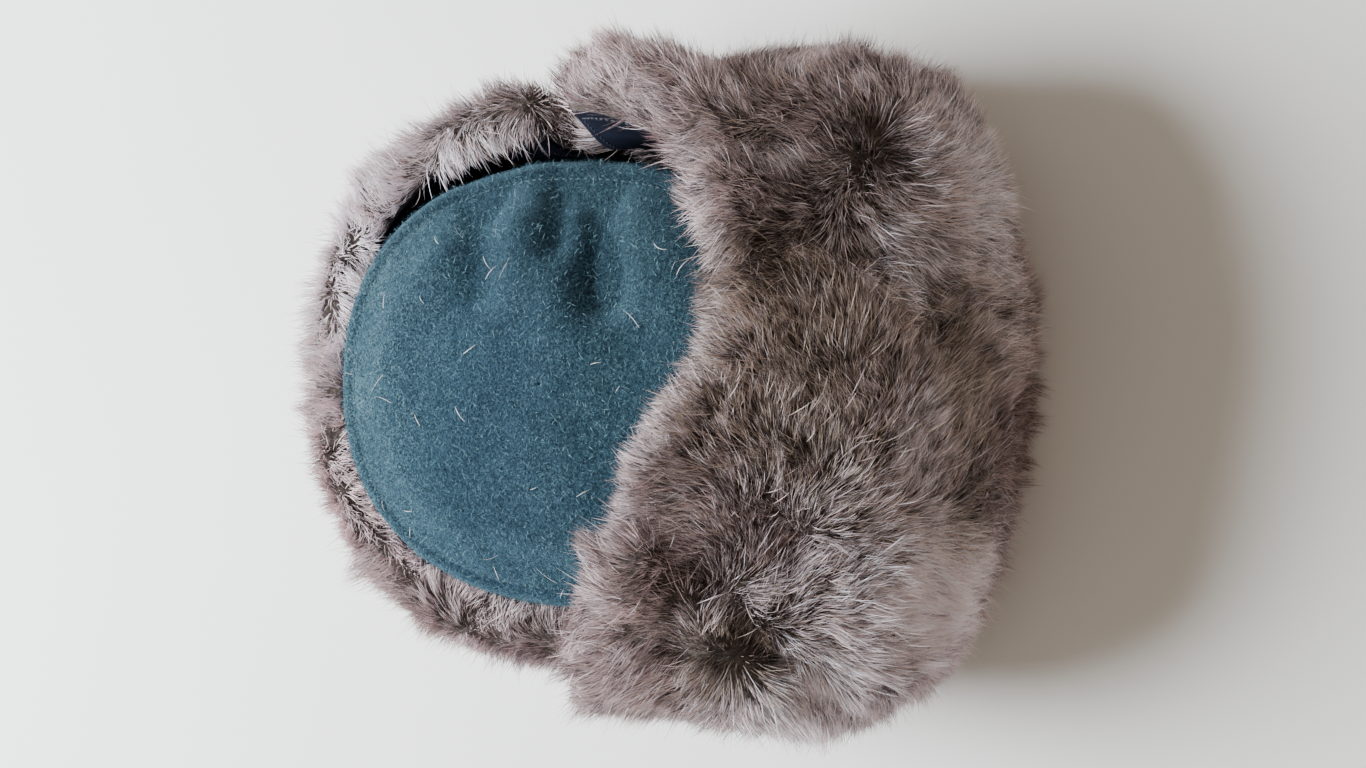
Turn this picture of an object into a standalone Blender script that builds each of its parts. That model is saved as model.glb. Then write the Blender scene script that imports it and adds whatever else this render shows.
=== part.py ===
"""Trapper hat: a felt crown with a quilted lining and four fur-faced flaps, all folded up.

The hat stands on its rim. +Z is up, the front of the hat faces -Y, and the wearer's right is -X.
Lengths are in metres. Angles around the hat start at the front and turn through the wearer's left:
0 is the front, 90 the left side (+X), 180 the back and -90 the right side (-X).
"""

from math import acos, atan2, cos, degrees, exp, pi, radians, sin

import bmesh
import bpy
from mathutils import Vector

# The crown's middle stands a little in front of the middle of the whole hat
CROWN_MIDDLE = Vector((0.0, -0.0041, 0.0))

# Crown: outer half sizes of the felt at the rim and at the top seam
RIM_HALF_X = 0.0880
RIM_HALF_Y = 0.1140
TOP_HALF_X = 0.0840
TOP_HALF_Y = 0.1070
RIM_SQUARENESS = 2.5
TOP_SQUARENESS = 2.25
WALL_FOOT_Z = 0.0042
WALL_HEAD_Z = 0.1188
TOP_EDGE_Z = 0.1210
SHOULDER_Z = 0.1265
DOME_RISE = 0.0090
SHOULDER_SHARE = 0.93
ROLL_FROM = 0.80
INNER_REACH = 0.82

# Layers of the crown, from the felt inwards
FELT = 0.0020
WADDING = 0.0030
LINING = 0.0008
SWEATBAND = 0.0014
SWEATBAND_HEAD_Z = 0.0360
LAYER_GAP = 0.0005
RIM_BAND_HEIGHT = 0.0036
RIM_BAND_WIDTH = 0.0105
RIM_BAND_PROUD = 0.0006
SEAM_GAP = 0.0004
PANEL_GRID = (20, 4)
RING_COLUMNS = 40
RING_ROWS = 2
DOME_SEGMENTS = 32
DOME_RINGS = 14
MERGE_DISTANCE = 0.00001

# Layers of a flap, from the cloth that faces the crown outwards
FLAP_GAP = 0.0016
BACKING = 0.0012
INTERLINING = 0.0025
PELT = 0.0200
EAR_PELT = 0.0260
FRONT_PELT = 0.0160
PELT_ROUNDING = 0.0050
ROUNDED_ANGLE = 50

# Fold lines: the hinge axes lie along the outer lower edge of the crown
FOLD_X = 0.0930
FOLD_BACK_Y = 0.1190
FOLD_FRONT_Y = -0.1190
FOLD_Z = 0.0050

# Press studs that hold the ear flaps up; each flap's "stud" is its place as (u, v)
SOCKET_RADIUS = 0.0060
STUD_RADIUS = 0.0042
STUD_BASE = 0.0010
STUD_STANDOFF = 0.0019
STUD_BALL_RADIUS = 0.0022
STUD_BALL = 0.0012
SOCKET_BORE_RADIUS = 0.0032
SOCKET_HEIGHT = 0.0022
STUD_CLEARANCE = 0.0004
CLOTH_CLEARANCE = 0.0016
CAP_RADIUS = 0.0065
CAP_HEIGHT = 0.0022
PARTING_RADIUS = 0.0085
PARTING_FLARE = 1.5
PARTING_DEPTH = 0.0600
PARTING_RISE = 0.0100
TURNED_STEPS = 24
FARTHEST_WALL = 0.0600

# Each flap: angles of its two edges at the fold and at the free edge, then rows of height and gap
# to the crown from the fold up. top_gaps are the last row's gaps, evenly spaced from edge to edge.
FLAPS = {
    "front_flap": {
        "fold_angles": (-70.0, 82.0),
        "edge_angles": (-70.0, 82.0),
        "rows": ((0.008, 0.004), (0.040, 0.0085), (0.075, 0.0095), (0.108, 0.009)),
        "top_gaps": (0.019, 0.011, 0.0065, 0.006, 0.0065),
        "corner_drop": (0.10, 0.10),
        "grid": (22, 6),
    },
    "ear_flap_right": {
        "fold_angles": (-134.5, -77.0),
        "edge_angles": (-134.5, -88.0),
        "rows": ((0.008, 0.004), (0.045, 0.0110), (0.090, 0.0080), (0.136, 0.010)),
        "top_gaps": (0.000, 0.009, 0.015, 0.019),
        "corner_drop": (0.02, 0.14),
        "grid": (10, 7),
        "stud": (0.28, 0.84),
    },
    "ear_flap_left": {
        "fold_angles": (87.0, 134.5),
        "edge_angles": (94.0, 132.5),
        "rows": ((0.008, 0.004), (0.045, 0.0105), (0.090, 0.0085), (0.124, 0.006), (0.146, -0.010)),
        "top_gaps": (0.011, 0.002, -0.012, -0.022, -0.023),
        "corner_drop": (0.14, 0.02),
        "grid": (10, 8),
        "stud": (0.66, 0.60),
    },
    "neck_flap": {
        "fold_angles": (137.5, 222.5),
        "edge_angles": (137.5, 222.5),
        "rows": ((0.008, 0.004), (0.040, 0.0125), (0.085, 0.014), (0.120, 0.006), (0.147, -0.030)),
        "top_gaps": (-0.030, -0.040, -0.042, -0.038, -0.023, -0.012, -0.004),
        "corner_drop": (0.03, 0.03),
        "grid": (16, 8),
    },
}
FLAP_SQUARENESS = (2.8, 3.7, 3.0, 2.3)
CORNER_FULLNESS = 0.0130
CORNER_ANGLE = 136
CORNER_SPREAD = 15
CORNER_FOOT_Z = 0.0150
CORNER_HEAD_Z = 0.1450
CORNER_SHARE = 0.35
NECK_PELT_SHARES = {"left": (0.0, 0.30), "centre": (0.30, 0.70), "right": (0.70, 1.0)}
NECK_SEAM_SHARE = 0.002
PELT_FOOT_SHARE = 0.05
INTERLINING_MARGIN = 0.04
SHARP_ANGLE = 40

# Colours: base colour, roughness, metallic
TEAL_FELT = ((0.075, 0.165, 0.195), 0.95, 0.0)
FUR = ((0.300, 0.245, 0.220), 0.80, 0.0)
NAVY_SATIN = ((0.030, 0.033, 0.050), 0.45, 0.0)
WADDING_GREY = ((0.550, 0.540, 0.520), 0.95, 0.0)
STIFFENER = ((0.720, 0.710, 0.680), 0.90, 0.0)
RIBBON = ((0.040, 0.042, 0.055), 0.55, 0.0)
BLACK_METAL = ((0.020, 0.020, 0.022), 0.30, 0.8)


def clear_scene():
    for obj in list(bpy.data.objects):
        bpy.data.objects.remove(obj, do_unlink=True)


def new_collection(name):
    collection = bpy.data.collections.new(name)
    bpy.context.scene.collection.children.link(collection)
    return collection


def material(name, look):
    colour, roughness, metallic = look
    mat = bpy.data.materials.new(name)
    mat.use_nodes = True
    shader = mat.node_tree.nodes["Principled BSDF"]
    shader.inputs["Base Color"].default_value = (*colour, 1.0)
    shader.inputs["Roughness"].default_value = roughness
    shader.inputs["Metallic"].default_value = metallic
    return mat


def mix(start, end, share):
    return start + (end - start) * share


def through(values, share):
    """A smooth curve through evenly spaced values, at a share from 0 to 1."""
    last = len(values) - 1
    place = min(max(share, 0.0), 1.0) * last
    left = min(int(place), last - 1)
    s = place - left
    before = values[left - 1] if left > 0 else 2 * values[0] - values[1]
    after = values[left + 2] if left + 2 <= last else 2 * values[last] - values[last - 1]
    here, there = values[left], values[left + 1]
    bend = (2 * before - 5 * here + 4 * there - after) * s + (3 * (here - there) + after - before) * s * s
    return here + 0.5 * s * (there - before + bend)


def outline(angle, half_x, half_y, squareness):
    """The point at an angle in degrees on an oval; a squareness of 2 is an ellipse."""
    east, north = sin(radians(angle)), -cos(radians(angle))
    reach = (abs(east / half_x) ** squareness + abs(north / half_y) ** squareness) ** (-1 / squareness)
    return east * reach, north * reach


def crown_point(angle, z, gap):
    """A point of the crown's wall at a height, moved out from the felt's face by gap."""
    share = min(z / TOP_EDGE_Z, 1.0)
    half_x = mix(RIM_HALF_X, TOP_HALF_X, share) + gap
    half_y = mix(RIM_HALF_Y, TOP_HALF_Y, share) + gap
    return Vector((*outline(angle, half_x, half_y, mix(RIM_SQUARENESS, TOP_SQUARENESS, share)), z))


def fullness(angle, z):
    """How far the flaps bulge out at the two back corners of the hat."""
    share = (z - CORNER_FOOT_Z) / (CORNER_HEAD_Z - CORNER_FOOT_Z)
    rise = sin(pi * min(max(share, 0.0), 1.0)) ** 2
    return CORNER_FULLNESS * rise * exp(-(((abs(angle) - CORNER_ANGLE) / CORNER_SPREAD) ** 2))


def flap_point(flap, u, v):
    """A point of a flap's cloth: u runs between its two side edges, v from the fold to the free edge."""
    angle = mix(mix(*flap["fold_angles"], u), mix(*flap["edge_angles"], u), v)
    drop = flap["corner_drop"][0] * max(0.0, 1 - u / CORNER_SHARE) ** 2
    drop += flap["corner_drop"][1] * max(0.0, 1 - (1 - u) / CORNER_SHARE) ** 2
    heights = [row[0] for row in flap["rows"]]
    gaps = [row[1] for row in flap["rows"]]
    gaps[-1] = through(flap["top_gaps"], u)
    z = heights[0] + (through(heights, v) - heights[0]) * (1 - drop * v)
    share = min(z / TOP_EDGE_Z, 1.0)
    gap = through(gaps, v) + fullness(angle if angle <= 180 else 360 - angle, z)
    half_x = mix(RIM_HALF_X, TOP_HALF_X, share) + gap
    half_y = mix(RIM_HALF_Y, TOP_HALF_Y, share) + gap
    return Vector((*outline(angle, half_x, half_y, through(FLAP_SQUARENESS, v)), z))


def flap_normal(flap, u, v):
    step = 0.01
    along = flap_point(flap, u + step, v) - flap_point(flap, u - step, v)
    up = flap_point(flap, u, v + step) - flap_point(flap, u, v - step)
    return along.cross(up).normalized()


def add_object(name, mesh, look, collection):
    mesh.materials.append(material(name, look))
    mesh.shade_smooth()
    mesh.set_sharp_from_angle(angle=radians(SHARP_ANGLE))
    obj = bpy.data.objects.new(name, mesh)
    obj.location = CROWN_MIDDLE
    collection.objects.link(obj)
    return obj


def thicken(obj, thickness, outwards=False):
    shell = obj.modifiers.new("Thickness", "SOLIDIFY")
    shell.thickness = thickness
    shell.offset = 1.0 if outwards else -1.0
    shell.use_even_offset = False


def cloth(name, columns, rows, place, look, collection, closed=False, lift=0.0):
    """A rectangular piece of cloth bent so that its point (u, v) lies at place(u, v), then lifted."""
    bm = bmesh.new()
    bmesh.ops.create_grid(bm, x_segments=columns, y_segments=rows, size=1.0)
    for vert in bm.verts:
        vert.co = place((vert.co.x + 1) / 2, (vert.co.y + 1) / 2)
    if closed:
        bmesh.ops.remove_doubles(bm, verts=bm.verts, dist=MERGE_DISTANCE)
    bm.normal_update()
    moved = [vert.co + vert.normal * lift for vert in bm.verts]
    for vert, co in zip(bm.verts, moved):
        vert.co = co
    mesh = bpy.data.meshes.new(name)
    bm.to_mesh(mesh)
    bm.free()
    return add_object(name, mesh, look, collection)


def dome(name, inset, reach, look, collection):
    """The crown's top: an oval disc with a rolled edge, inset all round and cut at a share of its reach."""
    bm = bmesh.new()
    bmesh.ops.create_uvsphere(bm, u_segments=DOME_SEGMENTS, v_segments=DOME_RINGS, radius=1.0)
    bmesh.ops.delete(bm, geom=[v for v in bm.verts if v.co.z < -MERGE_DISTANCE], context="VERTS")
    for vert in bm.verts:
        share = acos(min(vert.co.z, 1.0)) / (pi / 2) * reach
        angle = degrees(atan2(vert.co.x, -vert.co.y))
        x, y = outline(angle, TOP_HALF_X - inset, TOP_HALF_Y - inset, TOP_SQUARENESS)
        if share <= ROLL_FROM:
            out = share / ROLL_FROM * SHOULDER_SHARE
            z = SHOULDER_Z + DOME_RISE * (1 - (out / SHOULDER_SHARE) ** 2)
        else:
            turn = (share - ROLL_FROM) / (1 - ROLL_FROM) * pi / 2
            out = mix(SHOULDER_SHARE, 1.0, sin(turn))
            z = mix(TOP_EDGE_Z, SHOULDER_Z, cos(turn))
        vert.co = (x * out, y * out, z - inset)
    mesh = bpy.data.meshes.new(name)
    bm.to_mesh(mesh)
    bm.free()
    return add_object(name, mesh, look, collection)


def crown_panels(collection):
    """The felt of the crown: a domed top and two side panels that meet at the front and the back."""
    thicken(dome("crown_top_panel", 0.0, 1.0, TEAL_FELT, collection), FELT)
    for name, side in (("crown_side_left", 1), ("crown_side_right", -1)):
        start = degrees(SEAM_GAP / 2 / RIM_HALF_Y)

        def wall(u, v, side=side, start=start):
            angle = mix(start, 180 - start, u if side > 0 else 1 - u) * side
            return crown_point(angle, mix(WALL_FOOT_Z, WALL_HEAD_Z, v), 0.0)

        thicken(cloth(name, *PANEL_GRID, wall, TEAL_FELT, collection), FELT)


def crown_ring(name, inset, thickness, foot, head, look, collection):
    """A closed layer inside the crown's wall."""

    def wall(u, v):
        return crown_point(360 * u, mix(foot, head, v), -inset)

    thicken(cloth(name, RING_COLUMNS, RING_ROWS, wall, look, collection, closed=True), thickness)


def crown_inside(collection):
    """Wadding, lining and sweatband, each clear of the layer outside it."""
    wadding_at = FELT + LAYER_GAP
    lining_at = wadding_at + WADDING + LAYER_GAP
    sweatband_at = lining_at + LINING + LAYER_GAP
    head = WALL_HEAD_Z - wadding_at
    thicken(dome("crown_top_wadding", wadding_at, INNER_REACH, WADDING_GREY, collection), WADDING)
    crown_ring("crown_side_wadding", wadding_at, WADDING, WALL_FOOT_Z, head, WADDING_GREY, collection)
    thicken(dome("lining_top", lining_at, INNER_REACH, NAVY_SATIN, collection), LINING)
    head = WALL_HEAD_Z - lining_at
    crown_ring("lining_side", lining_at, LINING, WALL_FOOT_Z, head, NAVY_SATIN, collection)
    crown_ring("sweatband", sweatband_at, SWEATBAND, WALL_FOOT_Z, SWEATBAND_HEAD_Z, RIBBON, collection)


def rim_band(collection):
    """The felt band under the rim: a flat ring that the hat rests on."""

    def ring(u, v):
        point = crown_point(360 * u, 0.0, mix(RIM_BAND_PROUD - RIM_BAND_WIDTH, RIM_BAND_PROUD, v))
        return Vector((point.x, point.y, 0.0))

    thicken(cloth("rim_band", RING_COLUMNS, 1, ring, TEAL_FELT, collection, closed=True), RIM_BAND_HEIGHT)


def flap_layer(name, flap, shares, thickness, lift, look, collection):
    """One layer of a flap: the part of its cloth between the shares (u from, u to, v from, v to)."""
    u_from, u_to, v_from, v_to = shares
    columns = max(4, round(flap["grid"][0] * (u_to - u_from)))

    def place(u, v):
        return flap_point(flap, mix(u_from, u_to, u), mix(v_from, v_to, v))

    layer = cloth(name, columns, flap["grid"][1], place, look, collection, lift=lift)
    thicken(layer, thickness, outwards=True)
    return layer


def pelt(name, flap, u_from, u_to, thickness, collection):
    """A fur pelt: skin and dense underfur as one rounded pad outside the interlining."""
    lift = BACKING + INTERLINING + 2 * FLAP_GAP
    pad = flap_layer(name, flap, (u_from, u_to, PELT_FOOT_SHARE, 1.0), thickness, lift, FUR, collection)
    rounding = pad.modifiers.new("Rounding", "BEVEL")
    rounding.width = PELT_ROUNDING
    rounding.segments = 2
    rounding.limit_method = "ANGLE"
    rounding.angle_limit = radians(ROUNDED_ANGLE)
    return pad


def flap_cloths(name, flap, collection):
    """A flap's backing and interlining."""
    flap_layer(name + "_backing", flap, (0.0, 1.0, 0.0, 1.0), BACKING, 0.0, NAVY_SATIN, collection)
    margin = INTERLINING_MARGIN
    shares = (margin, 1 - margin, margin, 1 - margin)
    lift = BACKING + FLAP_GAP
    flap_layer(name + "_interlining", flap, shares, INTERLINING, lift, STIFFENER, collection)


def turned(name, sections, place, axis, look, collection):
    """A round metal piece turned from (radius, height) sections, standing at place along axis."""
    profile = bpy.data.meshes.new(name)
    bm = bmesh.new()
    verts = [bm.verts.new((radius, 0.0, height)) for radius, height in sections]
    for first, second in zip(verts, verts[1:]):
        bm.edges.new((first, second))
    if sections[0][0] > 0.0:
        bm.edges.new((verts[-1], verts[0]))
    bm.to_mesh(profile)
    bm.free()
    obj = add_object(name, profile, look, collection)
    turn = obj.modifiers.new("Turn", "SCREW")
    turn.steps = TURNED_STEPS
    turn.render_steps = TURNED_STEPS
    turn.use_merge_vertices = True
    turn.merge_threshold = MERGE_DISTANCE
    obj.location = CROWN_MIDDLE + place
    obj.rotation_mode = "QUATERNION"
    obj.rotation_quaternion = axis.to_track_quat("Z", "Y")
    return obj


def wall_distance(point, direction):
    """How far it is from a point outside the crown, along direction, to the felt of the wall."""
    near, far = 0.0, FARTHEST_WALL
    while far - near > MERGE_DISTANCE / 100:
        middle = (near + far) / 2
        probe = point + direction * middle
        angle = degrees(atan2(probe.x, -probe.y))
        wall = crown_point(angle, probe.z, 0.0)
        if probe.xy.length > wall.xy.length:
            near = middle
        else:
            far = middle
    return near


def press_stud(side, flap, pad, collection, cutters):
    """The stud on the crown, the socket behind the ear flap and the cap in a parting of the fur."""
    place = flap_point(flap, *flap["stud"])
    normal = flap_normal(flap, *flap["stud"])
    foot = place - normal * (CLOTH_CLEARANCE + SOCKET_HEIGHT)
    socket = (
        (SOCKET_RADIUS, SOCKET_HEIGHT),
        (SOCKET_RADIUS, 0.0),
        (SOCKET_BORE_RADIUS, 0.0),
        (SOCKET_BORE_RADIUS, SOCKET_HEIGHT),
    )
    turned("ear_socket_" + side, socket, foot, normal, BLACK_METAL, collection)
    wall = place - normal * wall_distance(place, -normal)
    rise = (foot - wall).length - STUD_CLEARANCE
    stud = (
        (0.0, rise + STUD_BALL),
        (STUD_BALL_RADIUS * 0.7, rise + STUD_BALL),
        (STUD_BALL_RADIUS, rise + STUD_BALL * 0.5),
        (STUD_BALL_RADIUS, rise),
        (STUD_RADIUS * 0.75, rise),
        (STUD_RADIUS, rise - STUD_BASE),
        (STUD_RADIUS, STUD_STANDOFF),
        (0.0, STUD_STANDOFF),
    )
    turned("crown_stud_" + side, stud, wall, normal, BLACK_METAL, collection)
    skin = place + normal * (BACKING + INTERLINING + 2 * FLAP_GAP)
    cap = (
        (0.0, CAP_HEIGHT),
        (CAP_RADIUS * 0.6, CAP_HEIGHT * 0.9),
        (CAP_RADIUS, CAP_HEIGHT * 0.35),
        (CAP_RADIUS, 0.0),
        (0.0, 0.0),
    )
    turned("ear_cap_" + side, cap, skin + normal * CLOTH_CLEARANCE, normal, BLACK_METAL, collection)
    part_fur(side, pad, skin, normal, cutters)


def part_fur(side, pad, skin, normal, cutters):
    """Opens the pelt round the cap."""
    bm = bmesh.new()
    bmesh.ops.create_cone(
        bm,
        cap_ends=True,
        segments=TURNED_STEPS,
        radius1=PARTING_RADIUS,
        radius2=PARTING_RADIUS * PARTING_FLARE,
        depth=PARTING_DEPTH,
    )
    mesh = bpy.data.meshes.new("parting_" + side)
    bm.to_mesh(mesh)
    bm.free()
    cutter = bpy.data.objects.new("parting_" + side, mesh)
    cutters.objects.link(cutter)
    cutter.location = CROWN_MIDDLE + skin + normal * PARTING_RISE
    cutter.rotation_mode = "QUATERNION"
    cutter.rotation_quaternion = normal.to_track_quat("Z", "Y")
    cutter.display_type = "WIRE"
    cutter.hide_render = True
    opening = pad.modifiers.new("Parting", "BOOLEAN")
    opening.operation = "DIFFERENCE"
    opening.solver = "EXACT"
    opening.object = cutter


def hinge_parent(name, place, names, collection):
    """An empty on a fold line, which the flap's pieces hang from."""
    pivot = bpy.data.objects.new(name + "_fold", None)
    pivot.location = CROWN_MIDDLE + Vector(place)
    collection.objects.link(pivot)
    bpy.context.view_layer.update()
    for piece in names:
        obj = bpy.data.objects[piece]
        obj.parent = pivot
        obj.matrix_parent_inverse = pivot.matrix_world.inverted()


def build():
    clear_scene()
    hat = new_collection("trapper_hat")
    cutters = new_collection("cutters")
    crown_panels(hat)
    crown_inside(hat)
    rim_band(hat)
    for name, flap in FLAPS.items():
        flap_cloths(name, flap, hat)
    pelt("front_flap_pelt", FLAPS["front_flap"], 0.0, 1.0, FRONT_PELT, hat)
    for part, (u_from, u_to) in NECK_PELT_SHARES.items():
        u_from += NECK_SEAM_SHARE
        u_to -= NECK_SEAM_SHARE
        pelt("neck_flap_pelt_" + part, FLAPS["neck_flap"], u_from, u_to, PELT, hat)
    for side in ("left", "right"):
        flap = FLAPS["ear_flap_" + side]
        pad = pelt("ear_flap_pelt_" + side, flap, 0.0, 1.0, EAR_PELT, hat)
        press_stud(side, flap, pad, hat, cutters)
    neck = ["neck_flap_backing", "neck_flap_interlining"]
    neck += ["neck_flap_pelt_" + part for part in NECK_PELT_SHARES]
    hinge_parent("neck_flap", (0.0, FOLD_BACK_Y, FOLD_Z), neck, hat)
    front = ["front_flap_backing", "front_flap_interlining", "front_flap_pelt"]
    hinge_parent("front_flap", (0.0, FOLD_FRONT_Y, FOLD_Z), front, hat)
    for side, fold_x in (("left", FOLD_X), ("right", -FOLD_X)):
        pieces = [f"ear_flap_{side}_backing", f"ear_flap_{side}_interlining", "ear_flap_pelt_" + side]
        pieces += ["ear_socket_" + side, "ear_cap_" + side]
        hinge_parent("ear_flap_" + side, (fold_x, 0.0, FOLD_Z), pieces, hat)


build()
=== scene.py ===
"""The looks of the trapper hat: wool felt crown, quilted lining and four flaps of satin and rabbit fur.

The hat stands on its rim. +Z is up, its front faces -Y and the wearer's right is -X. Lengths are in metres.
Angles around the hat are in degrees: 0 is the front, 90 the wearer's left (+X), 180 the back.
A flap's own places are (u, v): u runs between its side edges, v from its fold to its free edge.
"""

from math import cos, pi, radians, sin

import bpy
import numpy as np
from mathutils import Matrix, Vector, kdtree


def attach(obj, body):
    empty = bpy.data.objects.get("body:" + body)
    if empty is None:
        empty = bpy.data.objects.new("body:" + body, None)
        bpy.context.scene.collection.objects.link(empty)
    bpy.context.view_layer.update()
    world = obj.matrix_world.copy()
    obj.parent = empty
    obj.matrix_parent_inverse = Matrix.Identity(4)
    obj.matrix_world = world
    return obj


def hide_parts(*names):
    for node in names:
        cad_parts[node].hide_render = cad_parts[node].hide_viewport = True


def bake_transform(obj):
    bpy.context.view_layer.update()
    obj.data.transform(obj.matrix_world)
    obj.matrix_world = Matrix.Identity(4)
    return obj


# The shape of the crown and the flaps, as the CAD model has it
MIDDLE = np.array((0.0, -0.0041, 0.0))
RIM_HALF_X, RIM_HALF_Y = 0.0880, 0.1140
TOP_HALF_X, TOP_HALF_Y = 0.0840, 0.1070
RIM_SQUARENESS, TOP_SQUARENESS = 2.5, 2.25
WALL_FOOT_Z, WALL_HEAD_Z = 0.0042, 0.1188
TOP_EDGE_Z, SHOULDER_Z, DOME_RISE = 0.1210, 0.1265, 0.0090
SHOULDER_SHARE, ROLL_FROM = 0.93, 0.80
FELT, WADDING, LINING, SWEATBAND, LAYER_GAP = 0.0020, 0.0030, 0.0008, 0.0014, 0.0005
SWEATBAND_HEAD_Z = 0.0360
RIM_BAND_HEIGHT, RIM_BAND_WIDTH, RIM_BAND_PROUD = 0.0036, 0.0105, 0.0006
FLAP_GAP, BACKING, INTERLINING = 0.0016, 0.0012, 0.0025
SKIN_LIFT = BACKING + INTERLINING + 2 * FLAP_GAP
FLAP_SQUARENESS = (2.8, 3.7, 3.0, 2.3)
CORNER_SHARE = 0.35
CORNER_FULLNESS, CORNER_ANGLE, CORNER_SPREAD = 0.0130, 136.0, 15.0
CORNER_FOOT_Z, CORNER_HEAD_Z = 0.0150, 0.1450
FLAPS = {
    "front_flap": {
        "fold_angles": (-70.0, 82.0),
        "edge_angles": (-70.0, 82.0),
        "rows": ((0.008, 0.004), (0.040, 0.0085), (0.075, 0.0095), (0.108, 0.009)),
        "top_gaps": (0.019, 0.011, 0.0065, 0.006, 0.0065),
        "corner_drop": (0.10, 0.10),
    },
    "ear_flap_right": {
        "fold_angles": (-134.5, -77.0),
        "edge_angles": (-134.5, -88.0),
        "rows": ((0.008, 0.004), (0.045, 0.0110), (0.090, 0.0080), (0.136, 0.010)),
        "top_gaps": (0.000, 0.009, 0.015, 0.019),
        "corner_drop": (0.02, 0.14),
    },
    "ear_flap_left": {
        "fold_angles": (87.0, 134.5),
        "edge_angles": (94.0, 132.5),
        "rows": ((0.008, 0.004), (0.045, 0.0105), (0.090, 0.0085), (0.124, 0.006), (0.146, -0.010)),
        "top_gaps": (0.011, 0.002, -0.012, -0.022, -0.023),
        "corner_drop": (0.14, 0.02),
    },
    "neck_flap": {
        "fold_angles": (137.5, 222.5),
        "edge_angles": (137.5, 222.5),
        "rows": ((0.008, 0.004), (0.040, 0.0125), (0.085, 0.014), (0.120, 0.006), (0.147, -0.030)),
        "top_gaps": (-0.030, -0.040, -0.042, -0.038, -0.023, -0.012, -0.004),
        "corner_drop": (0.03, 0.03),
    },
}

# Pelts: the flap each covers, the stretch of u, whether each side edge is loose, and the underfur's height
PELTS = {
    "front_flap_fur": ("front_flap", "front_flap_pelt", (0.0, 1.0), (True, True), 0.0100),
    "ear_flap_fur_right": ("ear_flap_right", "ear_flap_pelt_right", (0.0, 1.0), (True, True), 0.0180),
    "ear_flap_fur_left": ("ear_flap_left", "ear_flap_pelt_left", (0.0, 1.0), (True, True), 0.0200),
    "neck_flap_fur_left": ("neck_flap", "neck_flap_pelt_left", (0.0, 0.30), (True, False), 0.0130),
    "neck_flap_fur_centre": ("neck_flap", "neck_flap_pelt_centre", (0.30, 0.70), (False, False), 0.0130),
    "neck_flap_fur_right": ("neck_flap", "neck_flap_pelt_right", (0.70, 1.0), (False, True), 0.0130),
}

# Camera
CAMERA_AZIMUTH, CAMERA_ELEVATION = 181.5, 61.0
CAMERA_LENS, CAMERA_DISTANCE = 50.7, 0.718
CAMERA_AIM = Vector((0.0, -0.0048, 0.130))
CAMERA_ASIDE = 0.0474

# Fur colours: a dark and a light end for each family of hairs
SHADE_LEVELS = 6
FUR_FAMILIES = {
    "taupe": ((0.040, 0.027, 0.028), (0.86, 0.67, 0.675)),
    "golden": ((0.034, 0.024, 0.022), (0.76, 0.605, 0.515)),
    "frost": ((0.078, 0.064, 0.070), (0.98, 0.90, 0.94)),
}

# The crown's felt. Its middle is puffed up over the plain dome, which leaves room for its dents.
CROWN_LIFT, LIFT_FROM, LIFT_FULL = 0.0072, 0.97, 0.72
# How far its edge is from its middle, and ripples inwards from the edge as (inset, width, height)
TOP_REACH = 0.095
STITCH_INSET = 0.0072
SEAM_RIDGE = (0.0035, 0.0024, 0.0009)
STITCH_GROOVE = (STITCH_INSET, 0.0011, -0.0009)
RIM_VALLEY = (0.019, 0.008, -0.0018)
# Its dents, and bumps where the depth is below 0: points along each, its width and its depth
DEEPEST_DENT = -0.0012
CROWN_DENTS = (
    (((-0.068, 0.012), (-0.052, 0.016), (-0.034, 0.018)), 0.0100, 0.0084),
    (((-0.040, 0.019), (-0.020, 0.032)), 0.0130, 0.0034),
    (((-0.073, -0.005), (-0.052, -0.002)), 0.0068, 0.0048),
    (((-0.070, -0.040), (-0.052, -0.039), (-0.036, -0.036)), 0.0110, 0.0064),
    (((-0.030, -0.052), (-0.010, -0.062), (0.016, -0.064)), 0.0140, 0.0018),
    (((0.004, 0.030), (0.022, 0.026)), 0.0150, 0.0016),
    (((-0.058, -0.020), (-0.050, -0.018)), 0.0090, -0.0014),
    (((-0.045, 0.045), (-0.035, 0.052)), 0.0120, -0.0012),
    (((0.062, -0.030), (0.072, 0.010)), 0.0060, 0.0016),
)

# Loose fibres on the crown: how many in a square metre, their lengths, their width and how far they lean
FUZZ = (640e3, (0.0010, 0.0032), 0.00017, 1.15)
SHED_HAIRS = (1.7e3, (0.004, 0.011), 0.00018, 1.25)

# Sewing and quilting
STITCH_SHARE, STITCH_PITCH, STITCH_RADIUS = 0.74, 0.0032, 0.00030
QUILT_PITCH, QUILT_THREAD = 0.0040, 0.00024
QUILT_REPEATS, QUILT_CELLS, QUILT_PUFF = 18, 16, 0.0028
QUILT_SEAM, QUILT_PINNED_FROM, QUILT_STITCHED_TO = 0.0011, 0.97, 0.86
QUILT_OVER_BAND = 0.002
RIM_LENGTH = 0.610
BAND_CLOTH = SWEATBAND - 0.0004
SIM_PRESSURE, SIM_FRAMES = 4.0, 20
FOLD_CLOTH, FOLD_CLOTH_FOOT, FOLD_CLOTH_HEAD = 0.0012, 0.0012, 0.0108
SATIN_STITCH_INSET = 0.007

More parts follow.
